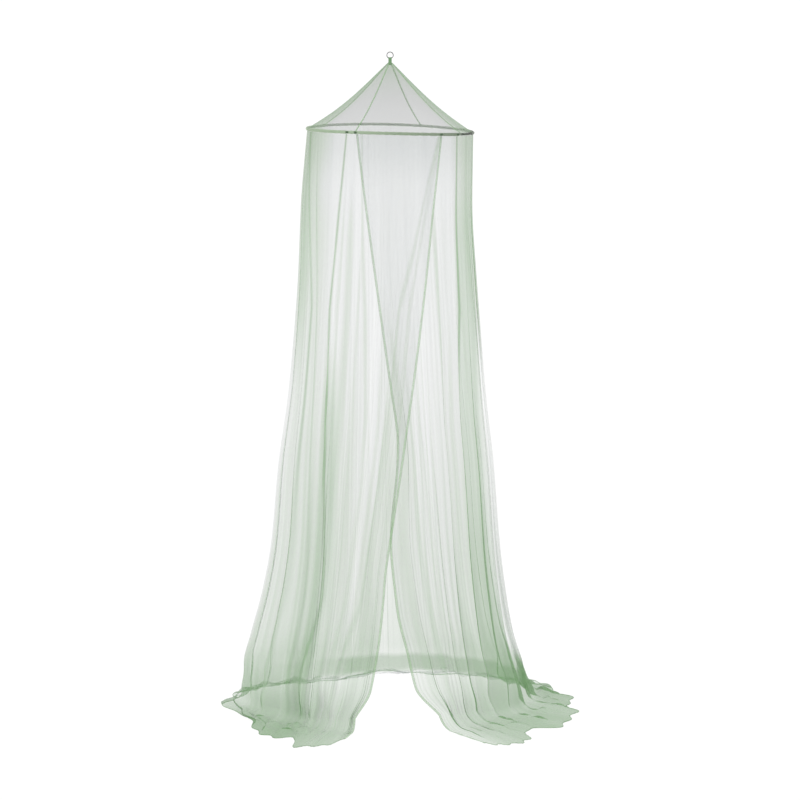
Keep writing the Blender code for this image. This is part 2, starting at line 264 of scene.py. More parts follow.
@dataclass(frozen=True)
class BandFinish:
    """Net or tape sewn in several layers, as in a hem, a seam, the casing or the loop."""

    name: str
    colour: Colour
    dark_colour: Colour
    alpha: float
    weave_scale: float = 900.0
    weave_strength: float = 0.4
    weave_height: float = 0.0004
    wear_scale: float = 45.0
    wear_detail: float = 4.0
    wear_rough: float = 0.1
    roughness: float = 0.8
    specular: float = 0.3
    sheen: float = 0.15
    thins_out: bool = False
    # how dark the painted shade makes the colour, as a share of the dark colour
    painted_shade_share: float = 0.25

    def build(self) -> bpy.types.Material:
        """Makes the material, with a fine weave on Object coordinates.

        Where it thins out, it reads its cover from the mesh, and its painted shade, which darkens the colour
        towards a dark green.

        Returns:
            The band material.
        """
        fixed = {"Alpha": self.alpha, "Specular IOR Level": self.specular, "Sheen Weight": self.sheen}
        look = NodeLook(self.name, fixed)
        where = look.place()
        wear = look.noise(where, self.wear_scale, self.wear_detail)
        tint = look.mixed(wear, self.dark_colour, self.colour)
        if self.thins_out:
            look.into(look.attribute("cover"), "Alpha")
            # painted shade: the mesh's "shade" attribute mixes the colour towards a darker green
            tint = look.mixed(look.attribute("shade"), tint, shade_of(self.dark_colour, self.painted_shade_share))
        look.into(tint, "Base Color")
        bump = look.nodes.new("ShaderNodeBump")
        bump.inputs["Strength"].default_value = self.weave_strength
        bump.inputs["Distance"].default_value = self.weave_height
        look.links.new(look.cells(where, self.weave_scale), bump.inputs["Height"])
        look.into(bump.outputs["Normal"], "Normal")
        rough = (self.roughness - self.wear_rough, self.roughness + self.wear_rough)
        look.into(look.ranged(wear, rough), "Roughness")
        return look.made


@dataclass(frozen=True)
class WireFinish:
    """Drawn or plated wire with faint marks along it."""

    name: str
    colour: Colour
    roughness: float
    metallic: float = 1.0
    mark_scale: float = 320.0
    mark_detail: float = 5.0
    mark_shade: float = 0.72
    mark_rough: tuple = (0.7, 1.4)

    def build(self) -> bpy.types.Material:
        """Makes the material.

        Returns:
            The wire material.
        """
        look = NodeLook(self.name, {"Metallic": self.metallic})
        marks = look.noise(look.place(), self.mark_scale, self.mark_detail)
        look.into(look.mixed(marks, shade_of(self.colour, self.mark_shade), self.colour), "Base Color")
        look.into(look.ranged(marks, tuple(share * self.roughness for share in self.mark_rough)), "Roughness")
        return look.made


# --- shared shapes ---------------------------------------------------------------------------------
LOOK_DOWN = math.radians(12)  # how steeply a look from eye height meets the net
LONGEST_WAY = 1.75  # through one layer, in layers
EVEN_WAY = 1.4  # the same through crumpled cloth
TURN_FROM, TURN_SPAN = 0.92, 0.8  # how far the cloth has turned back, read from the cosine of its turn
WELD = 1e-6
RIBBON_SECTION = np.array(
    ((-0.5, 0.0), (-0.25, 0.5), (0.25, 0.5), (0.5, 0.0), (0.25, -0.5), (-0.25, -0.5))
)


def soft_step(low: float, high: float, at: np.ndarray) -> np.ndarray:
    """0 below low, 1 above high, and an even turn between."""
    t = np.clip((at - low) / (high - low), 0.0, 1.0)
    return t * t * (3 - 2 * t)


def between(first: float | np.ndarray, last: float | np.ndarray, share: np.ndarray) -> np.ndarray:
    """From the first at a share of 0 to the last at a share of 1."""
    return first + (last - first) * share


def bell(middle: float, half: float, at: np.ndarray) -> np.ndarray:
    """1 at the middle, falling off evenly to both sides."""
    return np.exp(-(((at - middle) / half) ** 2))


def unit(arrows: np.ndarray) -> np.ndarray:
    """The same directions at length 1."""
    return arrows / np.maximum(np.linalg.norm(arrows, axis=1, keepdims=True), 1e-12)


def curve_through(places: np.ndarray, values: np.ndarray, at: np.ndarray) -> np.ndarray:
    """Reads a smooth line through a table's points, without overshoot.

    Args:
        places: Where the table's points lie, rising.
        values: The table's values there.
        at: Where the line is read.

    Returns:
        The line's values.
    """
    rise = np.diff(values) / np.diff(places)
    slope = np.zeros(len(values))
    level = rise[:-1] * rise[1:] <= 0
    slope[1:-1] = np.where(level, 0.0, 2 * rise[:-1] * rise[1:] / np.where(level, 1.0, rise[:-1] + rise[1:]))
    slope[0], slope[-1] = rise[0], rise[-1]
    at = np.clip(at, places[0], places[-1])
    k = np.clip(np.searchsorted(places, at, side="right") - 1, 0, len(rise) - 1)
    step = places[k + 1] - places[k]
    t = (at - places[k]) / step
    t2, t3 = t * t, t * t * t
    return (
        (2 * t3 - 3 * t2 + 1) * values[k]
        + (t3 - 2 * t2 + t) * step * slope[k]
        + (3 * t2 - 2 * t3) * values[k + 1]
        + (t3 - t2) * step * slope[k + 1]
    )


@dataclass
class Unevenness:
    """Smooth seeded noise from about -1 to 1 over two directions, the same in each run."""

    seed: int
    fineness: float = 1.0
    waves: int = 14
    across_range: tuple = (0.3, 2.2)
    down_range: tuple = (0.2, 2.2)
    evening: float = 1.1
    parts: np.ndarray = field(init=False)

    def __post_init__(self) -> None:
        """Draws the waves that the noise is made of."""
        draw = np.random.default_rng(self.seed)
        along = draw.uniform(*self.across_range, self.waves) * self.fineness
        along = along * draw.choice([-1, 1], self.waves)
        over = draw.uniform(*self.down_range, self.waves) * self.fineness
        self.parts = np.stack([along, over, draw.uniform(0, FULL_TURN, self.waves)])

    def at(self, across: np.ndarray, down: np.ndarray) -> np.ndarray:
        """Reads the noise.

        Args:
            across: The places in the first direction.
            down: The places in the second direction.

        Returns:
            The noise there.
        """
        total = np.zeros(np.broadcast(across, down).shape)
        for along, over, turn in self.parts.T:
            total += np.sin(along * across + over * down + turn)
        return total / math.sqrt(self.waves * self.evening)


def mesh_of(name: str, shape: bmesh.types.BMesh) -> bpy.types.Mesh:
    """Writes a finished shape to a new mesh.

    Args:
        name: The mesh's name.
        shape: The shape, which is freed.

    Returns:
        The mesh.
    """
    mesh = bpy.data.meshes.new(name)
    shape.to_mesh(mesh)
    shape.free()
    return mesh


def show(name: str, mesh: bpy.types.Mesh, finish: bpy.types.Material) -> bpy.types.Object:
    """Puts a mesh in the scene as a smooth piece that rides on the frame's one body.

    Args:
        name: The piece's name.
        mesh: Its mesh.
        finish: Its material.

    Returns:
        The piece.
    """
    mesh.shade_smooth()
    mesh.materials.clear()
    mesh.materials.append(finish)
    made = bpy.data.objects.new(name, mesh)
    bpy.context.scene.collection.objects.link(made)
    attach(made, "root")
    return made


def stand_in(piece: bpy.types.Object, node: str) -> bpy.types.Object:
    """Lets a piece stand for a node of the frame.

    Args:
        piece: The piece.
        node: The node's name.

    Returns:
        The piece.
    """
    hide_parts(node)
    return piece


def grid_mesh(name: str, across: int, down: int, place: Callable) -> tuple[bpy.types.Mesh, tuple]:
    """Makes a grid whose points a function moves.

    Args:
        name: The mesh's name.
        across: How many squares lie across it.
        down: How many squares lie down it.
        place: Takes arrays u and v from 0 to 1, and returns the points and whatever else it gives.

    Returns:
        The mesh, and what else the function gave.
    """
    shape = bmesh.new()
    bmesh.ops.create_grid(shape, x_segments=across, y_segments=down, size=0.5)
    mesh = mesh_of(name, shape)
    flat = np.empty(len(mesh.vertices) * 3)
    mesh.vertices.foreach_get("co", flat)
    flat = flat.reshape(-1, 3)
    points, *rest = place(flat[:, 0] + 0.5, flat[:, 1] + 0.5)
    mesh.vertices.foreach_set("co", np.ascontiguousarray(points, float).reshape(-1))
    mesh.update()
    return mesh, rest


def join_round(mesh: bpy.types.Mesh, ends: bool) -> None:
    """Joins a grid that is wrapped round, and turns its faces outwards.

    Args:
        mesh: The grid's mesh.
        ends: Whether its two ends are closed.
    """
    shape = bmesh.new()
    shape.from_mesh(mesh)
    bmesh.ops.remove_doubles(shape, verts=shape.verts, dist=WELD)
    if ends:
        bmesh.ops.holes_fill(shape, edges=shape.edges, sides=0)
    bmesh.ops.recalc_face_normals(shape, faces=shape.faces)
    shape.to_mesh(mesh)
    shape.free()


def grid_sheet(
    name: str, across: int, down: int, place: Callable, finish: bpy.types.Material
) -> bpy.types.Object:
    """Makes a sheet from a grid whose points a function moves.

    Args:
        name: The piece's name.
        across: How many squares lie across it.
        down: How many squares lie down it.
        place: Takes arrays u and v from 0 to 1 and returns points, UV in metres, cover and turn.
        finish: Its material.

    Returns:
        The piece, with its "cloth" UV map and its "cover" and "turned" attributes.
    """
    mesh, (cloth, cover, turned) = grid_mesh(name, across, down, place)
    corners = np.empty(len(mesh.loops), int)
    mesh.loops.foreach_get("vertex_index", corners)
    layer = mesh.uv_layers.new(name="cloth")
    layer.data.foreach_set("uv", np.ascontiguousarray(cloth[corners], float).reshape(-1))
    for word, values in (("cover", cover), ("turned", turned)):
        held = mesh.attributes.new(word, "FLOAT", "POINT")
        spread = np.broadcast_to(np.asarray(values, float), len(mesh.vertices))
        held.data.foreach_set("value", spread.copy())
    return show(name, mesh, finish)


def swept_ribbon(
    name: str, path: np.ndarray, outward: np.ndarray, width: float, thick: float, finish: bpy.types.Material
) -> bpy.types.Object:
    """Makes a narrow flat band of cloth along a path, from a grid that is wrapped round it.

    Args:
        name: The piece's name.
        path: Points along the band's middle.
        outward: At each point, the unit direction across the band's face.
        width: The band's width.
        thick: Its thickness.
        finish: Its material.

    Returns:
        The band.
    """
    across = unit(np.cross(unit(np.gradient(path, axis=0)), outward))
    sides = len(RIBBON_SECTION)
    runs = len(path) - 1

    def place(u: np.ndarray, v: np.ndarray) -> tuple:
        """Points round the section and along the path."""
        aside, proud = RIBBON_SECTION[np.rint(u * sides).astype(int) % sides].T[:, :, None]
        at = np.rint(v * runs).astype(int)
        return (path[at] + across[at] * width * aside + outward[at] * thick * proud,)

    mesh, _ = grid_mesh(name, sides, runs, place)
    join_round(mesh, ends=True)
    return show(name, mesh, finish)


def round_section(radius: float, corners: int) -> list[tuple[float, float]]:
    """Lays out a round section.

    Args:
        radius: Its radius.
        corners: How many flats it has.

    Returns:
        Its (outwards, up) points.
    """
    turns = np.linspace(0, FULL_TURN, corners + 1)[:-1]
    return [(radius * math.cos(t), radius * math.sin(t)) for t in turns]


def turned_ring(
    radius: float, section: list, steps: int, start: float = 0.0, reach: float = FULL_TURN
) -> bmesh.types.BMesh:
    """Turns a closed section round the Z axis.

    Args:
        radius: How far the section's origin lies from the axis.
        section: Its (outwards, up) points.
        steps: How many runs it takes.
        start: Where it starts, in radians from +X.
        reach: How far it goes round.

    Returns:
        The turned shape, flat round the origin, with open ends unless it goes all round.
    """
    shape = bmesh.new()
    corners = [shape.verts.new((radius + out, 0.0, up)) for out, up in section]
    edges = [shape.edges.new(pair) for pair in zip(corners, corners[1:] + corners[:1])]
    bmesh.ops.rotate(shape, verts=corners, cent=(0, 0, 0), matrix=Matrix.Rotation(start, 3, "Z"))
    bmesh.ops.spin(
        shape,
        geom=corners + edges,
        cent=(0, 0, 0),
        axis=(0, 0, 1),
        angle=reach,
        steps=steps,
        use_merge=reach == FULL_TURN,
        use_duplicate=False,
    )
    bmesh.ops.remove_doubles(shape, verts=shape.verts, dist=WELD)
    bmesh.ops.recalc_face_normals(shape, faces=shape.faces)
    return shape


def net_cover(
    across: np.ndarray, down: np.ndarray, points: np.ndarray, one_layer: np.ndarray, even: np.ndarray
) -> np.ndarray:
    """How much the net covers where a look from outside, at eye height, goes through it aslant.

    Args:
        across: The cloth's direction across at each point.
        down: The cloth's direction down at each point.
        points: The points.
        one_layer: What one layer covers when it faces the look squarely.
        even: How far small crumples, 0 to 1, even the way through it out.

    Returns:
        The cover from 0 to 1.
    """
    out = points * (1, 1, 0)
    out /= np.linalg.norm(out, axis=1, keepdims=True)
    look = out * math.cos(LOOK_DOWN) + np.array([0, 0, math.sin(LOOK_DOWN)])
    facing = np.abs(np.sum(unit(np.cross(across, down)) * look, axis=1))
    way = 1 / np.maximum(facing, 1 / LONGEST_WAY)
    return 1 - (1 - one_layer) ** (way + (EVEN_WAY - way) * even)


def turned_back(across: np.ndarray, points: np.ndarray) -> np.ndarray:
    """How far the cloth's direction across has turned from its way round the net, as in an S-fold.

    Args:
        across: The cloth's direction across at each point.
        points: The points.

    Returns:
        0 where it runs round the net, and 1 where it runs straight in or out or back.
    """
    round_it = np.stack([-points[:, 1], points[:, 0]], axis=1)
    round_it /= np.linalg.norm(round_it, axis=1, keepdims=True)
    along = np.sum(unit(across[:, :2]) * round_it, axis=1)
    along = along * np.sign(np.median(along))
    return np.clip((TURN_FROM - along) / TURN_SPAN, 0, 1)


# --- the hoop's plane, which everything hangs from ---------------------------------------------------
@dataclass(frozen=True)
class HoopPlane:
    """Where the hoop hangs, and how it is rolled."""

    radius: float = 0.3000
    drop: float = 0.2790
    roll: float = math.radians(1.5)
    bow: float = 0.0030
    rod_r: float = 0.0030
    casing_in_r: float = 0.0045
    casing_out_r: float = 0.0060

    def height(self, degrees: np.ndarray, radius: np.ndarray) -> np.ndarray:
        """Height of the rolled and sprung hoop at this angle, at this distance from the axis."""
        turn = np.radians(degrees)
        return -self.drop - np.sin(turn) * radius * math.tan(self.roll) + self.bow * np.cos(2 * turn)

    def hang(self, shape: bmesh.types.BMesh) -> None:
        """Takes a ring made round the origin to the hoop's place and roll, and springs it.

        Args:
            shape: The ring.
        """
        roll = Matrix.Translation((0, 0, -self.drop)) @ Matrix.Rotation(self.roll, 4, "Y")
        bmesh.ops.transform(shape, matrix=roll, verts=shape.verts)
        for vert in shape.verts:
            vert.co.z += self.bow * math.cos(2 * math.atan2(vert.co.x, -vert.co.y))


# --- the hanging panels ----------------------------------------------------------------------------
# One row for each main fold's crest, from the panel's free edge round to the back seam: the angles where
# it leaves the hoop, halfway down, at the foot and at the hem; the foot's and the hem's distance from the
# axis; the fold's depth at the foot; the height of its heap on the floor; how far the crest tucks over
# sideways; and how much the heap covers more.
FOLD_COLUMNS = ("top", "mid", "foot", "foot_r", "hem", "hem_r", "depth", "heap", "tuck", "pile")
LEFT_FOLDS = (
    # top, mid, foot, foot_r, hem, hem_r, depth, heap, tuck, pile
    (38.0, 10.5, -15.0, 0.465, -16.0, 0.584, 0.004, 0.006, 0.000, 0.20),
    (24.0, 3.0, -18.0, 0.470, -18.0, 0.690, 0.009, 0.016, 0.006, 0.32),
    (9.0, -5.0, -23.0, 0.475, -21.5, 0.745, 0.012, 0.026, 0.008, 0.36),
    (-7.0, -14.0, -28.0, 0.480, -25.6, 0.768, 0.014, 0.030, 0.008, 0.40),
    (-21.0, -27.0, -33.5, 0.485, -30.5, 0.685, 0.015, 0.032, 0.014, 0.44),
    (-33.0, -39.5, -40.0, 0.490, -36.5, 0.668, 0.020, 0.036, 0.008, 0.48),
    (-46.0, -51.0, -50.0, 0.500, -43.0, 0.690, 0.017, 0.030, 0.008, 0.47),
    (-59.0, -62.0, -62.0, 0.515, -53.0, 0.615, 0.019, 0.034, 0.012, 0.48),
    (-72.0, -74.0, -76.0, 0.535, -70.0, 0.575, 0.014, 0.024, 0.010, 0.42),
    (-86.0, -88.0, -91.0, 0.548, -91.0, 0.628, 0.016, 0.030, -0.004, 0.22),
    (-101.0, -103.0, -107.0, 0.540, -107.0, 0.612, 0.019, 0.036, -0.008, 0.12),
    (-116.0, -118.0, -121.0, 0.515, -121.0, 0.600, 0.017, 0.030, 0.012, 0.06),
    (-131.0, -132.0, -134.0, 0.480, -134.0, 0.545, 0.019, 0.034, -0.008, 0.06),
    (-145.0, -146.0, -147.0, 0.450, -147.0, 0.500, 0.014, 0.026, 0.008, 0.14),
    (-159.3, -159.5, -160.0, 0.440, -160.0, 0.492, 0.008, 0.012, 0.000, 0.14),
)
RIGHT_FOLDS = (
    # top, mid, foot, foot_r, hem, hem_r, depth, heap, tuck, pile
    (-24.0, 3.6, 23.5, 0.465, 28.0, 0.705, 0.004, 0.006, 0.000, 0.12),
    (-14.0, 8.5, 29.5, 0.468, 29.5, 0.765, 0.010, 0.020, 0.010, 0.16),
    (3.0, 14.5, 32.5, 0.470, 32.5, 0.780, 0.013, 0.028, -0.006, 0.28),
    (18.0, 23.5, 36.5, 0.474, 36.6, 0.792, 0.012, 0.026, 0.008, 0.34),
    (33.0, 33.5, 42.0, 0.478, 41.5, 0.748, 0.017, 0.034, 0.012, 0.38),
    (48.0, 45.0, 50.0, 0.486, 50.0, 0.640, 0.020, 0.036, 0.010, 0.40),
    (60.0, 56.5, 60.0, 0.498, 58.5, 0.742, 0.020, 0.038, 0.014, 0.38),
    (73.0, 70.5, 71.5, 0.510, 69.0, 0.700, 0.015, 0.030, 0.004, 0.42),
    (86.0, 84.0, 83.5, 0.522, 81.0, 0.706, 0.026, 0.036, 0.004, 0.43),
    (99.0, 96.5, 94.5, 0.528, 91.5, 0.668, 0.015, 0.030, -0.004, 0.46),
    (112.0, 108.5, 105.0, 0.530, 102.0, 0.700, 0.020, 0.042, -0.010, 0.46),
    (125.0, 120.5, 116.5, 0.530, 115.0, 0.675, 0.017, 0.046, 0.010, 0.32),
    (138.0, 133.0, 129.0, 0.526, 128.0, 0.690, 0.020, 0.042, -0.010, 0.14),
    (151.0, 146.0, 141.5, 0.518, 141.0, 0.650, 0.015, 0.034, 0.008, 0.12),
    (164.0, 159.5, 155.0, 0.506, 155.0, 0.610, 0.018, 0.030, -0.008, 0.12),
    (177.0, 173.5, 169.5, 0.492, 169.5, 0.590, 0.015, 0.022, 0.008, 0.12),
    (189.5, 187.5, 184.5, 0.470, 182.0, 0.640, 0.013, 0.016, -0.006, 0.12),
    (200.7, 200.5, 200.0, 0.440, 200.0, 0.492, 0.008, 0.012, 0.000, 0.12),
)
# Creases: where each lies at these shares of the drop, in main folds from the free edge; how far it
# reaches to each side, in folds; from which share of the drop it shows; and how much it covers more.
CREASE_DROPS = (0.0, 0.3, 0.6, 0.8, 0.93)
LEFT_CREASES = (
    # top, upper, lower, low, foot; half, start, strong
    (4.82, 5.30, 4.8, 4.4, 5.3, 0.07, -0.20, 0.50),
    (4.9, 5.0, 4.65, 4.7, 5.2, 0.50, 0.36, 0.28),
    (5.5, 5.5, 5.6, 5.6, 5.7, 0.60, 0.58, 0.09),
    (4.6, 4.8, 4.4, 4.1, 4.8, 0.12, 0.05, 0.13),
    (8.0, 8.1, 8.4, 8.4, 8.6, 0.26, -0.20, 0.20),
    (7.95, 6.75, 6.8, 6.9, 7.1, 0.10, -0.20, 0.34),
    (7.5, 7.2, 6.4, 6.2, 6.4, 0.90, -0.20, 0.09),
    (6.98, 6.30, 5.8, 5.7, 5.9, 0.06, 0.00, 0.26),
    (4.3, 4.2, 4.2, 4.0, 4.1, 0.14, 0.05, 0.18),
    (3.9, 3.3, 2.9, 3.0, 3.4, 0.07, -0.20, 0.18),
    (3.6, 3.6, 3.5, 3.6, 3.9, 0.10, 0.15, 0.12),
    (2.7, 2.8, 2.75, 2.5, 2.4, 0.28, 0.25, -0.03),
    (2.4, 2.3, 2.2, 2.3, 2.6, 0.07, 0.30, 0.10),
    (2.0, 1.9, 1.7, 1.9, 2.8, 0.15, 0.42, 0.18),
    (1.1, 1.1, 1.1, 1.1, 1.2, 0.46, 0.34, 0.07),
    (0.2, 1.5, 1.5, 1.5, 1.5, 0.10, -0.20, 0.16),
    (0.1, 1.0, 0.6, 0.5, 0.5, 0.13, -0.20, 0.12),
)
RIGHT_CREASES = (
    # top, upper, lower, low, foot; half, start, strong
    (5.50, 5.62, 5.10, 5.1, 5.4, 0.07, -0.20, 0.52),
    (6.4, 6.35, 5.95, 6.0, 6.2, 0.90, 0.04, 0.23),
    (6.1, 6.1, 5.95, 6.0, 6.3, 0.90, 0.62, 0.08),
    (6.5, 6.8, 6.5, 6.6, 6.8, 0.12, -0.20, 0.10),
    (7.3, 7.4, 7.0, 7.2, 7.3, 0.14, -0.20, 0.03),
    (8.2, 8.0, 7.9, 7.9, 8.1, 0.60, 0.30, -0.10),
    (8.6, 8.6, 8.5, 8.3, 8.2, 0.16, -0.20, 0.05),
    (9.6, 9.6, 9.6, 9.6, 9.6, 0.80, 0.30, -0.08),
    (4.8, 4.8, 4.7, 4.8, 5.0, 0.07, 0.30, 0.08),
    (3.7, 4.0, 4.35, 4.5, 4.8, 0.09, 0.08, 0.28),
    (3.4, 3.4, 3.3, 3.2, 3.1, 0.35, 0.25, -0.03),
    (3.0, 3.0, 3.1, 3.3, 3.7, 0.11, 0.50, 0.14),
    (2.6, 2.6, 2.6, 2.7, 2.9, 0.10, 0.40, 0.12),
    (1.9, 1.9, 1.8, 1.9, 2.1, 0.18, 0.38, 0.17),
    (0.9, 0.8, 0.85, 0.9, 1.0, 0.20, 0.26, 0.15),
    (16.55, 16.5, 16.4, 16.3, 16.3, 0.05, -0.20, 0.06),
)
# How far the free edges sway aside, in degrees, by the share of the drop.
LEFT_SWAY = ((0.0, 0.0), (0.50, 0.0), (0.73, 0.4), (0.82, 2.6), (0.89, 4.0), (0.95, 4.4), (1.0, 0.0))
RIGHT_SWAY = ((0.0, 0.0), (0.50, 0.0), (0.73, -12.5), (0.82, -12.9), (0.89, -10.8), (0.95, -9.5), (1.0, 0.0))
# How far the net has flared out from the hoop's radius to the foot's, by the share of the drop.
FLARE = (
    # drop, left, right
    (0.00, 0.000, 0.000),
    (0.05, 0.040, -0.010),
    (0.12, 0.090, -0.020),
    (0.25, 0.135, 0.050),
    (0.39, 0.225, 0.160),
    (0.47, 0.295, 0.230),
    (0.59, 0.440, 0.355),
    (0.73, 0.550, 0.455),
    (0.82, 0.695, 0.560),
    (0.89, 0.860, 0.680),
    (0.95, 0.985, 0.860),
    (1.00, 1.000, 1.000),
)


@dataclass(frozen=True)
class Spots:
    """Places on a panel.

    They lie across it in main folds, and down it in shares of the drop and then of the train. The bend is
    how far the net has turned onto the floor there.
    """

    fold: np.ndarray
    drop: np.ndarray
    out: np.ndarray
    bend: np.ndarray


@dataclass(frozen=True)
class Pace:
    """How fast a noise is read across a panel's folds, down its drop and out along its train."""

    across: float
    down: float = 0.0
    out: float = 0.0
    shift: tuple = (0.0, 0.0)

    def read(self, noise: Unevenness, at: Spots) -> np.ndarray:
        """Reads a noise at this pace.

        Args:
            noise: The noise.
            at: The places on the panel.

        Returns:
            The noise there.
        """
        across, down = self.shift
        return noise.at(at.fold * self.across + across, at.drop * self.down + at.out * self.out + down)


@dataclass(frozen=True)
class FoldTable:
    """A panel's main folds, one row for each crest from the free edge to the back seam."""

    rows: tuple

    def last(self) -> int:
        """The last crest's number."""
        return len(self.rows) - 1

    def read(self, word: str, fold: np.ndarray) -> np.ndarray:
        """Reads one of its columns as a smooth line across the panel.

        Args:
            word: The column's name.
            fold: The places across, in main folds.

        Returns:
            The column's values there.
        """
        column = np.array([row[FOLD_COLUMNS.index(word)] for row in self.rows])
        return curve_through(np.arange(len(self.rows)), column, fold)


@dataclass(frozen=True)
class Creases:
    """Creases placed one by one, where the cloth is drawn together or, if negative, lies slack.

    Fine ones soften on the way down, and broad ones have steep flanks.
    """

    rows: tuple
    fade_in: tuple = (-0.03, 0.15)
    fine: float = 0.15
    fine_fade: tuple = (0.40, 0.75)
    fine_loss: float = 0.45
    fine_spread: float = 0.6
    broad: float = 0.5
    soft_flank: float = 2.6
    steep_flank: float = 5.0

    def drawn(self, at: Spots) -> np.ndarray:
        """How strongly they draw the cloth together.

        Args:
            at: The places on the panel.

        Returns:
            What they add to one layer's cover.
        """
        total = np.zeros(np.broadcast(at.fold, at.drop).shape)
        for *path, half, start, strong in self.rows:
            low = soft_step(*self.fine_fade, at.drop) * (half < self.fine)
            shown = soft_step(*(start + step for step in self.fade_in), at.drop) * (1 - self.fine_loss * low)
            middle = np.interp(at.drop, CREASE_DROPS, path)
            off = np.abs((at.fold - middle) / (half * (1 + self.fine_spread * low)))
            flank = self.soft_flank if half < self.broad else self.steep_flank
            total += strong * shown * np.exp(-(off**flank))
        return total


@dataclass(frozen=True)
class Gathers:
    """Fine gathers and leaning tucks between the main folds, and the crumple of what lies on the floor."""

    seed: int
    table: FoldTable
    # the gathers: how many, how they wander sideways, and how deep they are from the hoop down
    per_fold: float = 5.3
    pinned_folds: float = 0.6
    wander: float = 0.55
    wander_pace: Pace = Pace(0.9, 0.5)
    waver: float = 0.16
    waver_pace: Pace = Pace(2.3, 2.1, 0.8, (7.0, 0.0))
    depth_top: float = 0.0003
    depth_low: float = 0.0022
    deepening: float = 0.9
    strength: float = 0.55
    strength_fineness: float = 1.7
    strength_pace: Pace = Pace(1.2, 1.0, 0.5)
    strength_range: tuple = (0.06, 1.5)
    calm_loss: float = 0.8
    # how they lean over sideways
    lean: float = 0.0028
    lean_top: float = 0.05
    lean_growth: float = 0.8
    lean_swing: float = 1.6
    lean_fineness: float = 1.1
    lean_pace: Pace = Pace(0.8, 0.7)
    lean_out: float = 0.75
    # how the main folds tuck under at one side
    tuck_top: float = 0.30
    tuck_more: float = 0.40
    tuck_full: float = 0.6
    tuck_fade: tuple = (0.80, 1.0)
    tuck_foot: float = 0.5
    tuck_out: float = 0.6
    # the crumple at the foot and in the trains, rougher behind and away from the free edge
    crumple_fineness: float = 4.0
    slump: float = 0.30
    slump_from: float = 0.91
    slump_pace: Pace = Pace(0.45, 10.0, 0.0, (11.0, 0.0))
    rise_out: float = 0.5
    smooth_least: float = 0.25
    rough_folds: tuple = (2.5, 4.5)
    behind: tuple = (95.0, 135.0)
    pile: float = 0.008
    pile_behind: float = 0.006
    pile_pace: Pace = Pace(0.7, 0.0, 2.0)
    pile_fade: float = 0.4
    stray: float = 0.010
    stray_least: float = 0.3
    stray_pace: Pace = Pace(0.5, 0.0, 1.6, (3.0, 5.0))

    def laid_on(self, at: Spots, main: tuple, placed: tuple) -> tuple:
        """Lays them on the main folds.

        Args:
            at: The places on the panel.
            main: The main wave from 0 to 1, and how calm the cloth is there.
            placed: The distance from the axis, the angle round it in degrees, and the height.

        Returns:
            The new distance, angle and height.
        """
        wave, calm = main
        radius, angle, height = placed
        tuck = self.table.read("tuck", at.fold)
        heap = self.table.read("heap", at.fold)
        wander = Unevenness(self.seed)
        sideways = self.wander * self.wander_pace.read(wander, at)
        ripple = np.cos(
            FULL_TURN * (self.per_fold * at.fold + sideways + self.waver * self.waver_pace.read(wander, at))
        )
        uneven = self.strength_pace.read(Unevenness(self.seed + 1, self.strength_fineness), at)
        power = np.clip(self.strength + self.strength * uneven, *self.strength_range)
        power = power * (1 - self.calm_loss * calm)
        grown = between(self.depth_top, self.depth_low, at.drop**self.deepening) * power
        first, last = at.fold / self.pinned_folds, (self.table.last() - at.fold) / self.pinned_folds
        pinned = np.minimum(1, first) * np.minimum(1, last)

        leaning = self.lean_pace.read(Unevenness(self.seed + 2, self.lean_fineness), at)
        lean = self.lean * between(self.lean_top, 1, at.drop**self.lean_growth) * power
        lateral = lean * np.clip(self.lean_swing * leaning, -1, 1) * ripple * (1 - self.lean_out * at.out)
        tucked = self.tuck_top + self.tuck_more * soft_step(0.0, self.tuck_full, at.drop)
        tucked = tucked * (1 - self.tuck_foot * soft_step(*self.tuck_fade, at.drop))
        lateral = lateral + tuck * (2 * wave - 1) * tucked * (1 - self.tuck_out * at.out)
        radius = radius + grown * ripple * pinned * (1 - at.bend)
        angle = angle + np.degrees(lateral * pinned / radius)

        crumple = Unevenness(self.seed + 3, self.crumple_fineness)
        slumped = soft_step(self.slump_from, 1.0, at.drop) * (1 - at.out)
        radius = radius + self.slump * heap * self.slump_pace.read(crumple, at) * slumped
        rise = grown * (0.5 + 0.5 * ripple) * at.bend * (1 - self.rise_out * at.out)
        rough = between(self.smooth_least, 1, soft_step(*self.rough_folds, at.fold))
        most = self.pile + self.pile_behind * soft_step(*self.behind, np.abs(angle))
        piled = np.abs(self.pile_pace.read(crumple, at)) * most * rough
        height = height + rise + piled * at.bend * (1 - at.out) ** self.pile_fade
        stray = self.stray * rough * self.stray_pace.read(crumple, at)
        radius = radius + stray * at.bend * (self.stray_least + at.out)
        return radius, angle, height


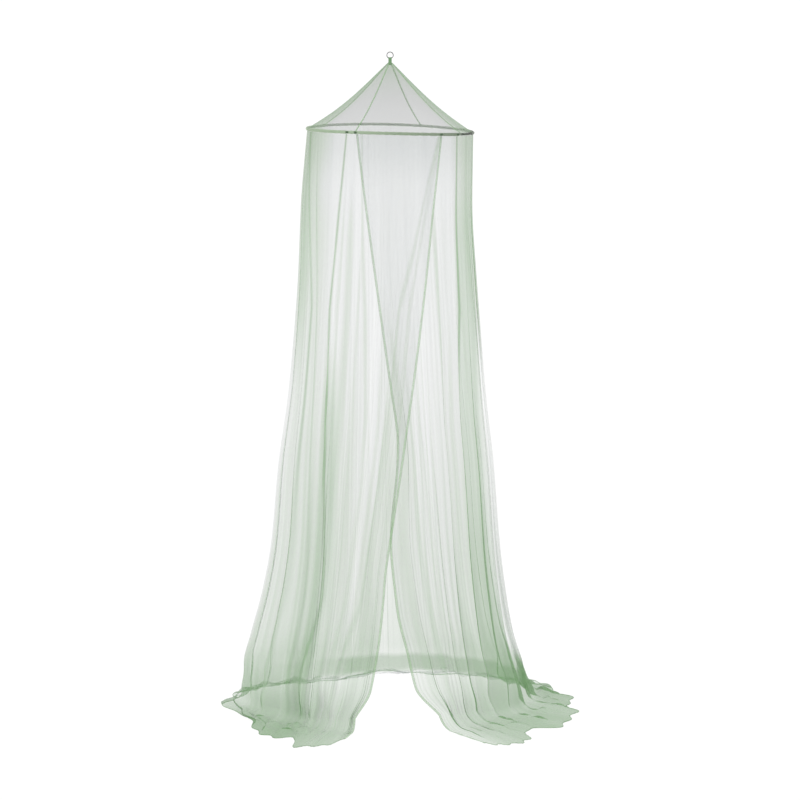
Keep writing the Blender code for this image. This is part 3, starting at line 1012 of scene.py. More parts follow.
@dataclass(frozen=True)
class Density:
    """How much light a panel's cloth keeps off: its one layer, and what is bunched on top of it."""

    seed: int
    table: FoldTable
    creases: Creases
    # one layer: more near the hoop, at the sides and near the foot
    one_layer_cover: float = 0.086
    inner_more: float = 0.028
    inner_folds: tuple = (3.0, 7.0)
    low_more: float = 0.074
    low_more_behind: float = 0.02
    low_drops: tuple = (0.25, 0.95)
    side: tuple = (92.0, 30.0)
    side_high: float = 1.8
    side_low: float = -0.3
    high_drops: tuple = (0.10, 0.50)
    head: float = 0.65
    head_aside: float = 0.8
    head_drop: float = 0.11
    behind: tuple = (95.0, 135.0)
    cover_range: tuple = (0.03, 0.9)
    # streaks of closer and looser net
    band: float = 0.20
    band_fineness: float = 3.2
    band_pace: Pace = Pace(1.0, 0.5)
    band_range: tuple = (-1.0, 1.6)
    streak: float = 0.13
    streak_fineness: float = 15.0
    streak_pace: Pace = Pace(1.0, 0.3)
    streak_top: float = 0.25
    streak_drop: float = 0.35
    # the back's hem, seen as one darker line but for where the left train hides it
    hem: float = 0.34
    hem_drops: tuple = (0.971, 0.983)
    hem_out: float = 0.2
    hidden: float = 0.7
    hidden_from: tuple = (-159.0, -144.0)
    hidden_to: tuple = (-60.0, -30.0)
    # what lies bunched towards the foot and in the trains, and how the creases fade there
    aside: tuple = (105.0, 28.0)
    slack: float = 0.46
    slack_drops: tuple = (0.83, 0.96)
    slack_aside: float = 0.10
    heaped: float = 0.66
    heaped_drops: tuple = (0.93, 1.0)
    train: float = 0.30
    train_out: float = 0.4
    far: tuple = (125.0, 155.0)
    floor_out: float = 0.15
    crease_foot: float = 0.55
    crease_drops: tuple = (0.92, 1.0)
    crease_out: float = 0.8

    def one_layer(self, at: Spots) -> np.ndarray:
        """What one layer of the cloth covers squarely.

        Args:
            at: The places on the panel.

        Returns:
            The cover of one layer.
        """
        top = np.abs(self.table.read("top", at.fold))
        bands = self.band_pace.read(Unevenness(self.seed + 4, self.band_fineness), at)
        streaks = self.streak_pace.read(Unevenness(self.seed + 5, self.streak_fineness), at)
        uneven = self.band * np.clip(bands, *self.band_range) + self.streak * streaks
        uneven = uneven * between(self.streak_top, 1, soft_step(0.0, self.streak_drop, at.drop))
        low = self.low_more + self.low_more_behind * soft_step(*self.behind, top)
        base = self.one_layer_cover + self.inner_more * soft_step(*self.inner_folds, at.fold)
        base = base + low * soft_step(*self.low_drops, at.drop)
        sides = bell(*self.side, top)
        high = 1 - soft_step(*self.high_drops, at.drop)
        base = base * (1 + sides * between(self.side_low, self.side_high, high))
        head = self.head * (1 - self.head_aside * sides) * (1 - soft_step(0.0, self.head_drop, at.drop))
        slack = np.minimum(self.creases.drawn(at), 0)
        return np.clip(base * (1 + head) * (1 + uneven) + slack, *self.cover_range)

    def bunched(self, at: Spots) -> np.ndarray:
        """What the cloth covers more where it lies bunched in a crease, in a heap or in the back's hem.

        Args:
            at: The places on the panel.

        Returns:
            The cover of what is bunched there.
        """
        top = self.table.read("top", at.fold)
        away = np.abs(top)
        hidden = soft_step(*self.hidden_from, top) * (1 - soft_step(*self.hidden_to, top))
        hem = self.hem * soft_step(*self.behind, away) * (1 - self.hidden * hidden)
        hem = hem * soft_step(*self.hem_drops, at.drop) * (1 - soft_step(0.0, self.hem_out, at.out))
        start, full = self.slack_drops
        start = start + self.slack_aside * bell(*self.aside, away)
        lying = self.slack * soft_step(start, full, at.drop)
        lying = lying + self.heaped * soft_step(*self.heaped_drops, at.drop)
        lying = lying + self.train * soft_step(0.0, self.train_out, at.out)
        on_floor = soft_step(0.0, self.floor_out, at.out)
        lying = self.table.read("pile", at.fold) * lying * (1 - soft_step(*self.far, away) * on_floor)
        drawn = np.maximum(self.creases.drawn(at), 0)
        drawn = drawn * (1 - self.crease_foot * soft_step(*self.crease_drops, at.drop))
        drawn = drawn * (1 - self.crease_out * on_floor)
        return np.clip(drawn + lying + hem, 0.0, self.cover_range[1])


@dataclass
class NetPanel:
    """One hanging net panel, from its free front edge to the back seam.

    Its main folds are the rows of a table, as in the frame. Finer gathers, leaning tucks and creases
    lie between them.
    """

    name: str
    node: str
    side: Side
    folds: tuple
    creases: tuple
    sway: tuple
    calm_folds: tuple
    plane: HoopPlane
    seed: int
    # the bend onto the floor, and the trains
    over_floor: float = 0.0015
    knee: float = 0.050
    knee_inside: float = 0.25
    knee_outside: float = 0.5
    knee_share: float = 0.3
    knee_sweep: float = 1.5
    train_sweep: float = 1.2
    heap_least: float = 0.40
    heap_crest: float = 0.28
    heap_fade: float = 0.7
    ripples: float = 2.4
    ripple_shift: float = 0.37
    ripple_share: float = 0.15
    scallop: float = 0.022
    # the main folds, the overlap and the seam at the back
    gap: float = 0.0003
    top_wave: float = 0.10
    fold_opening: float = 1.1
    depth_share: float = 0.65
    sway_folds: float = 1.6
    lap_top: float = 0.0065
    lap_low: float = 0.034
    lap_folds: tuple = (4.0, 6.0)
    seam_half: float = 0.0004
    crease_rise: float = 0.030
    crease_pull: tuple = (-0.05, 0.12)
    # the smooth folds at the side, and how the look through them is evened out
    calm_fade: tuple = (-0.3, 0.1, -0.1, 0.4)
    calm_even: float = 0.75
    floor_even: float = 0.85
    floor_out: float = 0.15
    behind: tuple = (100.0, 140.0)
    behind_foot: float = 0.7
    foot_from: float = 0.95
    grey_top: float = 0.50
    grey_drop: float = 0.20
    green_out: tuple = (0.6, 0.2)
    # the grid, its flat size for each fold and down, and how far apart its slope is read
    columns: int = 880
    hang_rows: int = 46
    slump_rows: int = 28
    train_rows: int = 34
    slump_from: float = 0.87
    train_close: float = 1.1
    cloth_size: tuple = (0.16, 4.4)
    slope_columns: float = 0.3
    slope_down: float = 0.002
    # its hem and its free edge
    hem_width: float = 0.0040
    hem_thick: float = 0.0026
    hem_points: int = 900
    edge_width: float = 0.0088
    edge_thick: float = 0.0012
    hem_inside: float = 0.02
    edge_inside: float = 0.002
    bands: list[bpy.types.Object] = field(default_factory=list)
    table: FoldTable = field(init=False)
    crease_lines: Creases = field(init=False)
    gathers: Gathers = field(init=False)
    density: Density = field(init=False)

    def __post_init__(self) -> None:
        """Makes the panel's parts from its tables."""
        self.table = FoldTable(self.folds)
        self.crease_lines = Creases(self.creases)
        self.gathers = Gathers(self.seed, self.table)
        self.density = Density(self.seed, self.table, self.crease_lines)

    def spots(self, u: np.ndarray, v: np.ndarray) -> Spots:
        """Names places on the panel.

        Args:
            u: From 0 at the free edge to 1 at the back seam.
            v: From 0 at the hoop through 0.5 at the foot to 1 at the hem.

        Returns:
            The places.
        """
        out = np.clip(v * 2 - 1, 0, 1)
        bend = np.clip(out / self.knee_share, 0, 1)
        return Spots(u * self.table.last(), np.clip(v * 2, 0, 1), out, bend)

    def calm(self, fold: np.ndarray) -> np.ndarray:
        """Where the panel's side has few gathers.

        Args:
            fold: The places across, in main folds.

        Returns:
            1 on the smooth folds there, and 0 off them.
        """
        first, last = self.calm_folds
        rise, full, fall, gone = self.calm_fade
        return soft_step(first + rise, first + full, fold) * (1 - soft_step(last + fall, last + gone, fold))

    def round_about(self, at: Spots) -> np.ndarray:
        """How far round the net the places lie, with the sway of the free edge.

        Args:
            at: The places on the panel.

        Returns:
            Their angles, in degrees.
        """
        top, mid, foot, hem = (self.table.read(word, at.fold) for word in ("top", "mid", "foot", "hem"))
        low = 2 * at.drop - 1
        angle = np.where(low < 0, between(mid, top, -low), between(mid, foot, low))
        drops, turns = np.array(self.sway).T
        angle = angle + curve_through(drops, turns, at.drop) * bell(0.0, self.sway_folds, at.fold)
        return angle + (hem - foot) * at.out

    def unfolded(self, at: Spots, angle: np.ndarray) -> tuple:
        """Where the net hangs and lies without its folds.

        Args:
            at: The places on the panel.
            angle: Their angles, in degrees.

        Returns:
            Their distance from the axis, and their height.
        """
        drops, left, right = np.array(FLARE).T
        leftness = 0.5 - 0.5 * np.sin(np.radians(angle))
        flared = curve_through(drops, left, at.drop) * leftness
        flared = flared + curve_through(drops, right, at.drop) * (1 - leftness)
        knee_r = self.table.read("foot_r", at.fold) - self.knee_inside * self.knee
        beyond = self.table.read("hem_r", at.fold) - knee_r - self.knee_outside * self.knee
        radius = self.plane.radius + (knee_r - self.plane.radius) * flared
        radius = radius + self.knee_outside * self.knee * at.bend**self.knee_sweep
        radius = radius + beyond * at.out**self.train_sweep
        start = self.plane.height(angle, self.plane.radius) - self.plane.casing_out_r - self.gap
        height = start + (FLOOR + self.over_floor + self.knee - start) * at.drop
        return radius, height - self.knee * (1 - (1 - at.bend) ** 2)

    def surface(self, u: np.ndarray, v: np.ndarray) -> np.ndarray:
        """Places points of the panel.

        Args:
            u: From 0 at the free edge to 1 at the back seam.
            v: From 0 at the hoop through 0.5 at the foot to 1 at the hem.

        Returns:
            The points.
        """
        at = self.spots(u, v)
        angle = self.round_about(at)
        radius, height = self.unfolded(at, angle)
        hanging = 1 - at.bend

        wave = 0.5 * (1 + np.cos(FULL_TURN * at.fold))
        swing = between(self.top_wave, 1, at.drop**self.fold_opening) * hanging
        radius = radius + self.depth_share * self.table.read("depth", at.fold) * (2 * wave - 1) * swing
        radius = radius - self.scallop * (1 - wave) * at.out
        lying = (self.heap_least + self.heap_crest * wave) * at.bend * (1 - at.out) ** self.heap_fade
        turns = self.ripples * at.out + self.ripple_shift * np.floor(at.fold + 0.5)
        ripple = np.sin(math.pi * turns) ** 2 * (1 - at.out) * at.bend
        height = height + self.table.read("heap", at.fold) * (lying + self.ripple_share * ripple)

        lap = 1 - soft_step(*self.lap_folds, at.fold)
        apart = between(self.lap_top, self.lap_low, soft_step(0.0, 0.5, at.drop))
        radius = radius + self.side.value * 0.5 * apart * lap * hanging
        pull = np.clip(self.crease_lines.drawn(at), *self.crease_pull)
        radius = radius + self.crease_rise * pull * at.drop**0.5 * hanging

        main = (wave, self.calm(at.fold))
        radius, angle, height = self.gathers.laid_on(at, main, (radius, angle, height))
        last = self.table.last()
        seam = np.degrees(self.seam_half / radius) * soft_step(last - 1, last, at.fold)
        turn = np.radians(angle + self.side.value * seam)
        return np.stack([radius * np.sin(turn), -radius * np.cos(turn), height], axis=-1)

    def row_values(self) -> np.ndarray:
        """Spaces the cross rows, close together where the net bends.

        Returns:
            The v of each.
        """
        upper = np.linspace(0, self.slump_from, self.hang_rows + 1)
        lower = np.linspace(self.slump_from, 1, self.slump_rows + 1)[1:]
        hang = 0.5 * np.concatenate([upper, lower])
        train = 0.5 + 0.5 * np.linspace(0, 1, self.train_rows + 1)[1:] ** self.train_close
        return np.concatenate([hang, train])

    def dressed(self, u: np.ndarray, v: np.ndarray) -> tuple:
        """Works out the panel's points and what its finish reads there.

        Args:
            u: From 0 at the free edge to 1 at the back seam.
            v: From 0 at the hoop through 0.5 at the foot to 1 at the hem.

        Returns:
            The points, their UV in metres, their cover, and how far the cloth turns back.
        """
        points = self.surface(u, v)
        aside, below = self.slope_columns / self.columns, self.slope_down
        across = self.surface(np.minimum(u + aside, 1), v) - self.surface(np.maximum(u - aside, 0), v)
        down = self.surface(u, np.minimum(v + below, 1)) - self.surface(u, np.maximum(v - below, 0))
        at = self.spots(u, v)
        even = self.floor_even * soft_step(0.0, self.floor_out, at.out)
        even = np.maximum(self.calm_even * self.calm(at.fold), even)
        thin = net_cover(across, down, points, self.density.one_layer(at), even)
        behind = soft_step(*self.behind, np.abs(np.degrees(np.arctan2(points[:, 0], -points[:, 1]))))
        thin = thin * (1 - self.behind_foot * behind * soft_step(self.foot_from, 1.0, at.drop))
        cover = 1 - (1 - thin) * (1 - self.density.bunched(at))
        less, by = self.green_out
        green = turned_back(across, points) * (1 - less * soft_step(0.0, by, at.out))
        green = green - self.grey_top * (1 - soft_step(0.0, self.grey_drop, at.drop))
        wide, long = self.cloth_size
        return points, np.stack([at.fold * wide, v * long], axis=1), cover, green

    def build(
        self, net: bpy.types.Material, hem: bpy.types.Material, edge: bpy.types.Material
    ) -> bpy.types.Object:
        """Makes the panel with its hem and its free edge.

        Args:
            net: The sheer net's material.
            hem: The material of the hem, sewn in several layers.
            edge: The material of the free edge, folded once.

        Returns:
            The panel.
        """
        lines = self.row_values()
        shares = np.linspace(0, 1, len(lines))

        def place(u: np.ndarray, v: np.ndarray) -> tuple:
            """The panel at these shares of the grid."""
            return self.dressed(u, np.interp(v, shares, lines))

        sheet = stand_in(grid_sheet(self.name, self.columns, len(lines) - 1, place, net), self.node)
        wide = np.linspace(0.0, 1.0, self.hem_points)
        low = np.ones(len(wide))
        front = np.zeros(len(lines))
        self.bands = [
            self.band(
                "hem", (wide, low), (wide, low - self.hem_inside), (self.hem_width, self.hem_thick), hem
            ),
            self.band(
                "free_edge",
                (front, lines),
                (front + self.edge_inside, lines),
                (self.edge_width, self.edge_thick),
                edge,
            ),
        ]
        log.info("%s: %d faces", self.name, len(sheet.data.polygons))
        return sheet

    def band(
        self, word: str, rim: tuple, inside: tuple, section: tuple, finish: bpy.types.Material
    ) -> bpy.types.Object:
        """Makes the folded band along the hem or the free edge.

        Args:
            word: What the band is, for its name.
            rim: The u and v of the points along the cloth's edge.
            inside: The u and v of points beside them, inside the cloth.
            section: How wide and how thick it is.
            finish: Its material.

        Returns:
            The band.
        """
        width, thick = section
        edge = self.surface(*rim)
        away = unit(self.surface(*inside) - edge)
        path = edge + away * 0.5 * width
        face = unit(np.cross(np.gradient(path, axis=0), away))
        made = swept_ribbon(f"{self.name}_{word}", path, face, width, thick, finish)
        return made


# --- the roof --------------------------------------------------------------------------------------
@dataclass
class Roof:
    """The cone of four gores, with its seams and its gathered tip."""

    plane: HoopPlane
    seams: tuple = (-124.6, -24.6, 59.7, 157.6)
    tip_drop: float = 0.0370
    tip_r: float = 0.0080
    sag: float = 0.0165
    sag_skew: float = 1.1
    seat: float = math.radians(55)
    thick: float = 0.0015
    gap: float = 0.0003
    pull: float = 0.0012
    pull_seed: int = 71
    pull_spread: float = 16.0
    pull_fade: float = 0.7
    # its cover: more at the sides, towards the tip and in the gathers at the tip
    one_layer: float = 0.24
    side_more: float = 0.22
    side_narrow: float = 8.0
    side_step: float = 0.10
    side_from: tuple = (0.80, 0.86)
    high_more: float = 0.14
    tip_cover: float = 0.45
    tip_share: float = 0.07
    # the grid of a gore, the size of its cloth map, and the seams
    across: int = 84
    down: int = 70
    cloth_size: tuple = (0.5, 0.38)
    seam_points: int = 60
    seam_width: float = 0.006
    seam_thick: float = 0.0022
    seam_proud: float = 0.0008

    def surface(self, angle: np.ndarray, v: np.ndarray) -> np.ndarray:
        """Places points of the cone.

        Args:
            angle: Their angles, in degrees.
            v: Their shares of the way down.

        Returns:
            The points.
        """
        reach = self.plane.casing_out_r + self.gap + self.thick / 2
        foot_r = self.plane.radius - reach * math.sin(self.seat)
        radius = self.tip_r + (foot_r - self.tip_r) * v
        low = self.plane.height(angle, foot_r) + reach * math.cos(self.seat)
        height = between(-self.tip_drop, low, v) - self.sag * np.sin(math.pi * v**self.sag_skew)
        turn = np.radians(angle)
        spread = self.pull_spread
        pulled = Unevenness(self.pull_seed).at(spread * np.cos(turn), spread * np.sin(turn))
        height = height + self.pull * pulled * np.sin(math.pi * v) ** self.pull_fade
        return np.stack([radius * np.sin(turn), -radius * np.cos(turn), height], axis=-1)

    def cover(self, angle: np.ndarray, v: np.ndarray) -> np.ndarray:
        """What the cone covers.

        Args:
            angle: The places' angles, in degrees.
            v: Their shares of the way down.

        Returns:
            The cover from 0 to 1.
        """
        aside = np.abs(np.sin(np.radians(angle)))
        cover = self.one_layer + self.side_more * aside**self.side_narrow + self.high_more * (1 - v) ** 2
        cover = cover + self.side_step * soft_step(*self.side_from, aside)
        return between(cover, self.tip_cover, np.exp(-v / self.tip_share))

    def build(self, net: bpy.types.Material, sewn: bpy.types.Material) -> list[bpy.types.Object]:
        """Makes the gores and the seams between them.

        Args:
            net: The sheer net's material.
            sewn: The material of the seams.

        Returns:
            The gores.
        """
        gores = []
        ends = (*self.seams[1:], self.seams[0] + 360)
        for k, (start, end) in enumerate(zip(self.seams, ends), start=1):

            def place(u: np.ndarray, v: np.ndarray, start: float = start, end: float = end) -> tuple:
                """Points, UV in metres, cover and turn at these shares of the gore."""
                angle = start + (end - start) * u
                wide, long = self.cloth_size
                cloth = np.stack([u * wide, v * long], axis=1)
                return self.surface(angle, v), cloth, self.cover(angle, v), 0.0

            gore = grid_sheet(f"gore_{k}", self.across, self.down, place, net)
            gores.append(stand_in(gore, f"roof_gore_{k}"))
            self.seam(k, start, sewn)
        log.info("roof: %d gores", len(gores))
        return gores

    def seam(self, number: int, angle: float, sewn: bpy.types.Material) -> None:
        """Makes a seam.

        Args:
            number: Its number.
            angle: Where it lies, in degrees.
            sewn: Its material.
        """
        v = np.linspace(0.0, 1.0, self.seam_points)
        path = self.surface(np.full(len(v), angle), v)
        near = self.surface(np.full(len(v), angle + 1.0), v)
        face = unit(np.cross(near - path, np.gradient(path, axis=0)))
        path = path + face * self.seam_proud
        made = swept_ribbon(f"roof_seam_{number}", path, face, self.seam_width, self.seam_thick, sewn)


# --- the hoop --------------------------------------------------------------------------------------
@dataclass
class HoopSet:
    """The rod, the sleeve at its joint, and the casing sewn round them."""

    plane: HoopPlane
    rod_sides: int = 16
    rod_steps: int = 360
    sleeve_share: float = 1.33
    sleeve_steps: int = 40
    sleeve_from: float = math.radians(-32.1)
    sleeve_reach: float = math.radians(19.3)
    casing_slit: float = math.radians(40)
    casing_sides: int = 18
    casing_steps: int = 540
    swell: float = 0.10
    swell_seed: int = 91
    swell_spread: float = 38.0
    most_swell: float = 1.035
    # its cover, thinner behind and at the mouth of the sleeve, and the painted shade that darkens it towards
    # the right of the front
    cloth_cover: float = 0.50
    back_cover: float = 0.24
    back_turn: tuple = (95.0, 125.0)
    mouth_cover: float = 0.12
    mouth_near: tuple = (52.0, 60.0)
    mouth_far: tuple = (76.0, 84.0)
    painted_shade_turn: tuple = (-40.0, 70.0)
    painted_shade_most: float = 0.85
    painted_shade_growth: float = 1.3

    def build(
        self, rod: bpy.types.Material, sleeve: bpy.types.Material, casing: bpy.types.Material
    ) -> list[bpy.types.Object]:
        """Makes the rod, the sleeve and the casing.

        Args:
            rod: The rod's material.
            sleeve: The sleeve's material.
            casing: The casing cloth's material.

        Returns:
            The three pieces.
        """
        radius, rod_r = self.plane.radius, self.plane.rod_r
        bar = turned_ring(radius, round_section(rod_r, self.rod_sides), self.rod_steps)
        wall = round_section(self.sleeve_share * rod_r, self.rod_sides)
        tube = turned_ring(radius, wall, self.sleeve_steps, self.sleeve_from, self.sleeve_reach)
        bmesh.ops.holes_fill(tube, edges=tube.edges, sides=0)
        bmesh.ops.recalc_face_normals(tube, faces=tube.faces)
        log.info("hoop: rod, sleeve and casing")
        return [
            self.hung("hoop_rod", bar, rod, "hoop", "rod"),
            self.hung("hoop_sleeve", tube, sleeve, "hoop_joint", "joint"),
            self.hung("casing_cloth", self.casing(), casing, "hoop_casing", "casing"),
        ]

    def casing(self) -> bmesh.types.BMesh:
        """Shapes the casing, its cloth drawn in small gathers round the rod.

        Returns:
            The shape, still flat round the origin.
        """
        inner, outer = self.plane.casing_in_r, self.plane.casing_out_r
        lip = math.pi + self.casing_slit / 2
        turns = np.linspace(lip, lip + FULL_TURN - self.casing_slit, self.casing_sides + 1)
        section = [(outer * math.cos(t), outer * math.sin(t)) for t in turns]
        section += [(inner * math.cos(t), inner * math.sin(t)) for t in reversed(turns)]
        shape = turned_ring(self.plane.radius, section, self.casing_steps)
        cover = shape.verts.layers.float.new("cover")
        # painted shade: the "shade" attribute darkens the casing's colour, more towards the right of the
        # front and none behind
        shade = shape.verts.layers.float.new("shade")
        gather = Unevenness(self.swell_seed)
        for vert in shape.verts:
            out = Vector((vert.co.x, vert.co.y, 0)).normalized()
            middle = out * self.plane.radius
            off = vert.co - middle
            if off.length > 0.5 * (inner + outer):
                drawn = gather.at(self.swell_spread * out.x, self.swell_spread * out.y)
                vert.co = middle + off * min(float(1 + self.swell * drawn), self.most_swell)
            vert[cover], vert[shade] = self.casing_look(math.degrees(math.atan2(vert.co.x, -vert.co.y)))
        return shape

    def casing_look(self, turn: float) -> tuple[float, float]:
        """How the casing looks.

        Args:
            turn: The angle from the front, in degrees.

        Returns:
            Its cover and its painted shade there.
        """
        back = soft_step(*self.back_turn, abs(turn))
        mouth = soft_step(*self.mouth_near, turn) * (1 - soft_step(*self.mouth_far, turn))
        cover = between(between(self.cloth_cover, self.back_cover, back), self.mouth_cover, mouth)
        # painted shade, growing from the left of the front towards the right, and none behind
        first, last = self.painted_shade_turn
        painted_shading = np.clip((turn - first) / (last - first), 0.0, 1.0) ** self.painted_shade_growth
        return float(cover), float(self.painted_shade_most * painted_shading * (1 - back))

    def hung(
        self, name: str, shape: bmesh.types.BMesh, finish: bpy.types.Material, node: str, slot: str
    ) -> bpy.types.Object:
        """Hangs a flat ring as a piece that stands for a node of the frame.

        Args:
            name: The piece's name.
            shape: The ring.
            finish: Its material.
            node: The node's name.
            slot: The node's material slot; not used.

        Returns:
            The piece.
        """
        self.plane.hang(shape)
        return stand_in(show(name, mesh_of(name, shape), finish), node)


# --- the hanger ------------------------------------------------------------------------------------
@dataclass
class Hanger:
    """The steel ring, and the tape loop that goes over its wire and down into the roof's tip."""

    outer_r: float = 0.0130
    wire_r: float = 0.0015
    wire_sides: int = 20
    ring_steps: int = 96
    loop_width: float = 0.012
    loop_thick: float = 0.0012
    loop_below: float = 0.025
    loop_round: int = 96
    loop_across: int = 12
    cloth_size: tuple = (0.06, 0.01)
    gap: float = 0.0003

    def build(self, steel: bpy.types.Material, tape: bpy.types.Material) -> list[bpy.types.Object]:
        """Makes the ring and the loop.

        Args:
            steel: The ring's material.
            tape: The loop's material.

        Returns:
            The two pieces.
        """
        wire = round_section(self.wire_r, self.wire_sides)
        shape = turned_ring(self.outer_r - self.wire_r, wire, self.ring_steps)
        upright = Matrix.Rotation(math.radians(90), 4, "X")
        hung = Matrix.Translation((0, 0, 2 * self.wire_r - self.outer_r))
        bmesh.ops.transform(shape, matrix=hung @ upright, verts=shape.verts)
        ring = stand_in(show("ring_wire", mesh_of("ring_wire", shape), steel), "hang_ring")
        loop = self.loop(tape)
        log.info("hanger: ring and loop")
        return [ring, loop]

    def loop(self, tape: bpy.types.Material) -> bpy.types.Object:
        """Makes the loop, seated in the bend of the ring's wire.

        Args:
            tape: Its material.

        Returns:
            The loop.
        """
        wire_drop = 2 * (self.outer_r - 1.5 * self.wire_r) - self.wire_r / 2
        wire_bend = self.outer_r - self.wire_r
        bow = self.wire_r + self.gap
        length = self.loop_below - bow

        def place(u: np.ndarray, v: np.ndarray) -> tuple:
            """Points, UV, cover and turn at these shares round and across the tape."""
            turn = FULL_TURN * u
            x = self.loop_width * (v - 0.5)
            z = np.where(np.cos(turn) > 0, bow * np.cos(turn), length * np.cos(turn))
            saddle = (wire_bend - np.sqrt(wire_bend**2 - x**2)) * soft_step(-2 * bow, 0.0, z)
            points = np.stack([x, bow * np.sin(turn), z - wire_drop + saddle], axis=1)
            return points, np.stack([u, v], axis=1) * self.cloth_size, 1.0, 0.0

        made = grid_sheet("tape_loop", self.loop_round, self.loop_across, place, tape)
        join_round(made.data, ends=False)
        thick = made.modifiers.new("thickness", "SOLIDIFY")
        thick.thickness = self.loop_thick
        thick.offset = 1.0
        return stand_in(made, "apex_loop")


@dataclass
class Tacks:
    """Dark thread bar tacks where the free edges and the back seam are caught to the casing."""

    plane: HoopPlane
    places: tuple = (-30.0, -23.6, 37.0, 53.0, 200.7)
    wide: float = 0.0120
    high: float = 0.0090
    deep: float = 0.0050

    def build(self, thread: bpy.types.Material) -> None:
        """Makes the tacks.

        Args:
            thread: Their material.
        """
        out = self.plane.radius + self.plane.casing_out_r
        for k, degrees in enumerate(self.places, start=1):
            shape = bmesh.new()
            bmesh.ops.create_uvsphere(shape, u_segments=16, v_segments=10, radius=0.5)
            bmesh.ops.scale(shape, verts=shape.verts, vec=(self.wide, self.deep, self.high))
            turn = math.radians(degrees)
            low = float(self.plane.height(degrees, out))
            place = Matrix.Translation((out * math.sin(turn), -out * math.cos(turn), low))
            bmesh.ops.transform(shape, matrix=place @ Matrix.Rotation(turn, 4, "Z"), verts=shape.verts)
            show(f"tack_{k}", mesh_of(f"tack_{k}", shape), thread)
        log.info("tacks: %d", len(self.places))


# --- the studio ------------------------------------------------------------------------------------
@dataclass(frozen=True)
class Studio:
    """Camera, lights, white surroundings and a pale floor."""

    distance: float = 13.0
    aside: float = 0.036
    eye: float = 2.84
    tilt: float = 0.130
    focal_px: float = 3580.0
    picture_px: float = 800.0
    sensor: float = 36.0
    view_end: float = 2000.0
    brightness: float = 1.0
    lamps: tuple = (
        # name, place, size, power
        ("key", (-3.2, -3.6, 1.6), 2.4, 60.0),
        ("fill", (3.6, -2.2, 0.2), 2.0, 25.0),
    )
    lit: tuple = (0.0, 0.0, -1.2)
    floor_r: float = 900.0
    floor_gap: float = 0.0005
    floor_shade: float = 0.06
    floor_glow: float = 0.95
    net_layers: int = 96

    def build(self) -> None:
        """Makes all of it."""
        self.camera()
        self.lights()
        self.ground()
        bpy.context.scene.view_settings.view_transform = "Standard"
        bpy.context.scene.cycles.transparent_max_bounces = self.net_layers

    def camera(self) -> None:
        """A long lens a little above the hoop, as the two arcs of the hoop and the hems show."""
        data = bpy.data.cameras.new("camera")
        data.sensor_width = self.sensor
        data.lens = self.focal_px / self.picture_px * self.sensor
        data.clip_end = self.view_end
        made = bpy.data.objects.new("camera", data)
        bpy.context.scene.collection.objects.link(made)
        made.location = (self.aside, -self.distance, FLOOR + self.eye)
        made.rotation_euler = (math.radians(90) - self.tilt, 0, 0)
        bpy.context.scene.camera = made

    def lights(self) -> None:
        """White surroundings and two large soft lamps."""
        world = bpy.data.worlds.new("white studio")
        world.use_nodes = True
        around = world.node_tree.nodes["Background"]
        around.inputs["Color"].default_value = (1, 1, 1, 1)
        around.inputs["Strength"].default_value = self.brightness
        bpy.context.scene.world = world
        for name, spot, size, power in self.lamps:
            data = bpy.data.lights.new(name, "AREA")
            data.size = size
            data.energy = power
            made = bpy.data.objects.new(name, data)
            made.location = spot
            made.rotation_euler = (Vector(self.lit) - Vector(spot)).to_track_quat("-Z", "Y").to_euler()
            bpy.context.scene.collection.objects.link(made)

    def ground(self) -> None:
        """A pale floor that runs out of view."""
        shape = bmesh.new()
        bmesh.ops.create_circle(shape, cap_ends=True, segments=64, radius=self.floor_r)
        bmesh.ops.translate(shape, verts=shape.verts, vec=(0, 0, FLOOR - self.floor_gap))
        mesh = mesh_of("floor", shape)
        fixed = {
            "Base Color": (self.floor_shade, self.floor_shade, self.floor_shade, 1),
            "Roughness": 0.9,
            "Specular IOR Level": 0.1,
            "Emission Color": (1, 1, 1, 1),
            "Emission Strength": self.floor_glow,
        }
        mesh.materials.append(NodeLook("pale floor", fixed).made)
        floor = bpy.data.objects.new("floor", mesh)
        bpy.context.scene.collection.objects.link(floor)


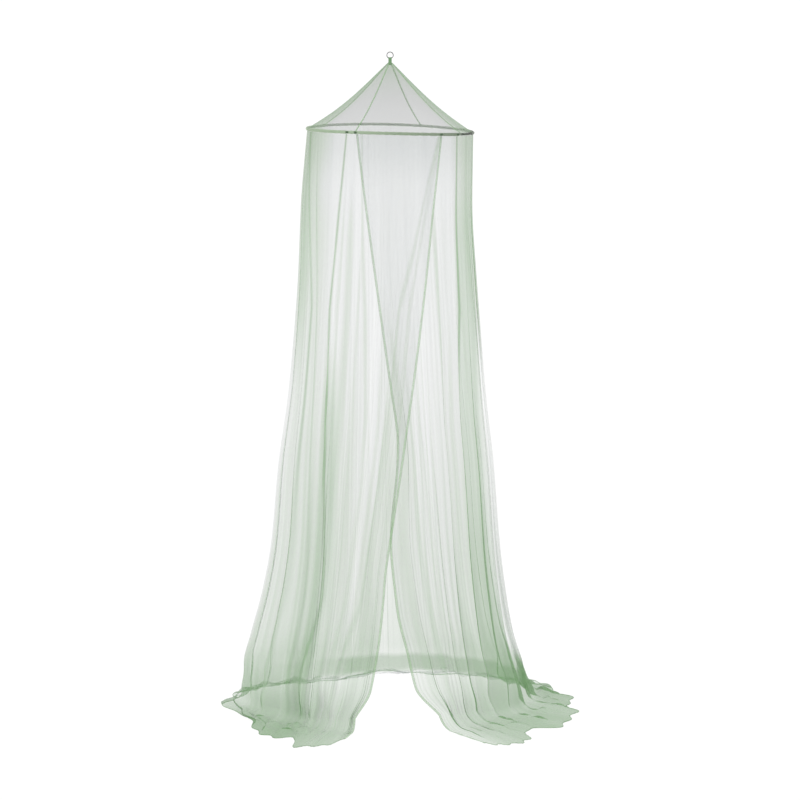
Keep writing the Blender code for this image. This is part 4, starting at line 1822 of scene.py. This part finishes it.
def main() -> None:
    """Builds every piece of the canopy and its studio."""
    logging.basicConfig(level=logging.INFO, format="%(message)s", stream=sys.stdout)
    plane = HoopPlane()
    net = NetFinish("sheer mint net").build()
    roof_net = NetFinish(
        "roof net",
        open_colour=(0.17, 0.18, 0.18),
        middle_colour=(0.19, 0.27, 0.17),
        dense_colour=(0.22, 0.34, 0.20),
        open_cover=0.27,
        dense_cover=0.55,
    ).build()
    hem = BandFinish("sewn net", (0.27, 0.44, 0.23), (0.19, 0.34, 0.16), 0.32).build()
    edge = BandFinish("folded edge", (0.34, 0.54, 0.28), (0.26, 0.45, 0.21), 0.26).build()
    seam = BandFinish("roof seam", (0.34, 0.58, 0.28), (0.26, 0.47, 0.21), 0.40).build()
    casing = BandFinish("casing cloth", (0.47, 0.59, 0.42), (0.38, 0.50, 0.33), 0.5, thins_out=True).build()
    tape = BandFinish("green tape", (0.20, 0.34, 0.18), (0.12, 0.22, 0.11), 1.0, 1400.0).build()
    thread = BandFinish("dark thread", (0.07, 0.12, 0.06), (0.04, 0.08, 0.04), 1.0, 2500.0).build()
    steel = WireFinish("bright steel wire", (0.20, 0.20, 0.20), 0.25).build()
    rod = WireFinish("plated rod", (0.58, 0.60, 0.58), 0.45).build()
    sleeve = WireFinish("dark sleeve", (0.015, 0.018, 0.015), 0.5, metallic=0.0).build()

    Studio().build()
    Hanger().build(steel, tape)
    gores = Roof(plane).build(roof_net, seam)
    HoopSet(plane).build(rod, sleeve, casing)
    Tacks(plane).build(thread)
    left = NetPanel(
        "left_net", "panel_left", Side.OUTSIDE, LEFT_FOLDS, LEFT_CREASES, LEFT_SWAY, (5.6, 8.6), plane, 11
    )
    right = NetPanel(
        "right_net", "panel_right", Side.INSIDE, RIGHT_FOLDS, RIGHT_CREASES, RIGHT_SWAY, (5.0, 7.3), plane, 23
    )
    for panel, width, area in ((left, 1.6, 3.23), (right, 2.05, 3.94)):
        sheet = panel.build(net, hem, edge)

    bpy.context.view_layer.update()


if __name__ == "__main__":
    main()
